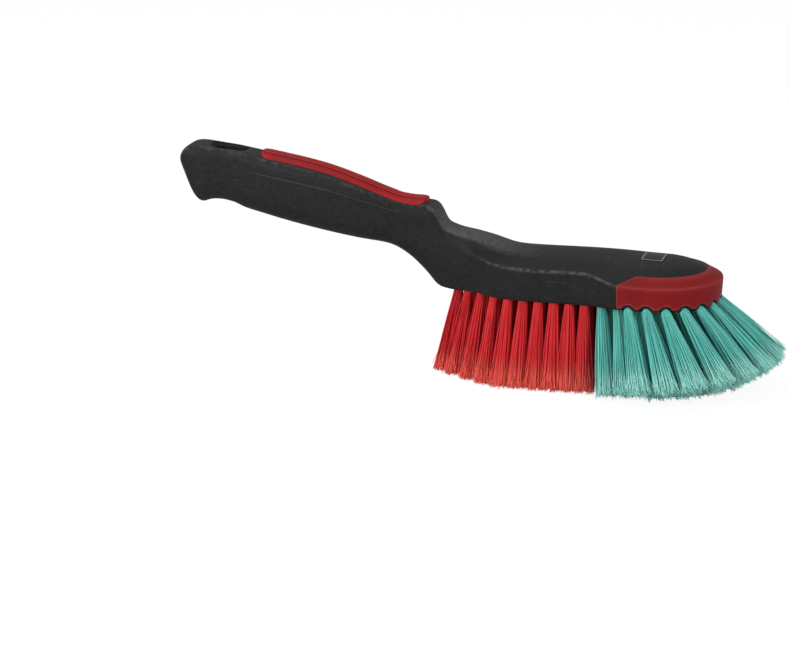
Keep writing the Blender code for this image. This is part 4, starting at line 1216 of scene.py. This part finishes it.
class HANDBRUSH_OT_label(Operator):
    """Lay a plain label on the crown"""

    bl_idname = "hand_brush.label"
    bl_label = "Label"

    def execute(self, context):
        finish_piece(label_sheet(), label_film())
        return {"FINISHED"}


class HANDBRUSH_OT_soft_parts(Operator):
    """Build the soft grip and the soft bumper"""

    bl_idname = "hand_brush.soft_parts"
    bl_label = "Grip and Bumper"

    def execute(self, context):
        colours = context.scene.hand_brush_colours
        grip = grip_shell()
        mark_bend(grip, GRIP_CURVATURE)
        finish_piece(grip, moulded_elastomer("thermoplastic_elastomer_grip", colours.grip),
                     ("soft_grip",))
        bumper = bumper_shell()
        bumper.data.set_sharp_from_angle(angle=SHARP_ANGLE)
        mark_bend(bumper, BUMPER_CURVATURE)
        finish_piece(bumper, moulded_elastomer("thermoplastic_elastomer_bumper",
                                               colours.bumper),
                     ("front_bumper",))
        return {"FINISHED"}


class HANDBRUSH_OT_tufts(Operator):
    """Fill the drilled holes with red and teal filaments"""

    bl_idname = "hand_brush.tufts"
    bl_label = "Tufts"

    def execute(self, context):
        sizes, colours = context.scene.hand_brush_sizes, context.scene.hand_brush_colours
        materials = {
            "red": polyester_filament("polyester_filament_red", colours.red, "f4685a"),
            "teal": polyester_filament("polyester_filament_teal", colours.teal, "a8e8de"),
        }
        for seed, (name, colour, *layout) in enumerate(tuft_groups(), start=100):
            tuft_piece(name, colour, *layout, sizes, materials[colour], seed)
        return {"FINISHED"}


class HANDBRUSH_OT_stage(Operator):
    """Set up the floor, the lamps and the camera"""

    bl_idname = "hand_brush.stage"
    bl_label = "Stage"

    def execute(self, context):
        context.scene.view_settings.view_transform = "Standard"
        add_floor()
        add_world(context.scene)
        for name, settings in LAMPS.items():
            add_lamp(name, *settings)
        add_camera(context.scene)
        return {"FINISHED"}


class HANDBRUSH_PT_panel(Panel):
    """List of the steps that build the brush"""

    bl_idname = "HANDBRUSH_PT_panel"
    bl_label = "Hand Brush"
    bl_space_type = "VIEW_3D"
    bl_region_type = "UI"
    bl_category = "Hand Brush"

    def draw(self, context):
        for group in (context.scene.hand_brush_sizes, context.scene.hand_brush_colours):
            for name in group.__annotations__:
                self.layout.prop(group, name)
        for step in STEPS:
            self.layout.operator(step.bl_idname)


STEPS = (HANDBRUSH_OT_stage, HANDBRUSH_OT_body, HANDBRUSH_OT_soft_parts, HANDBRUSH_OT_label,
         HANDBRUSH_OT_tufts)
CLASSES = (HandBrushSizes, HandBrushColours, *STEPS, HANDBRUSH_PT_panel)


def register():
    """Register the classes and hang the property groups on the scene."""
    for item in CLASSES:
        bpy.utils.register_class(item)
    bpy.types.Scene.hand_brush_sizes = PointerProperty(type=HandBrushSizes)
    bpy.types.Scene.hand_brush_colours = PointerProperty(type=HandBrushColours)


def unregister():
    """Take the property groups and classes away again."""
    del bpy.types.Scene.hand_brush_colours
    del bpy.types.Scene.hand_brush_sizes
    for item in reversed(CLASSES):
        bpy.utils.unregister_class(item)


def main():
    """Run the steps in order."""
    register()
    bpy.ops.hand_brush.stage()
    bpy.ops.hand_brush.body()
    bpy.ops.hand_brush.soft_parts()
    bpy.ops.hand_brush.label()
    bpy.ops.hand_brush.tufts()


if __name__ == "__main__":
    main()
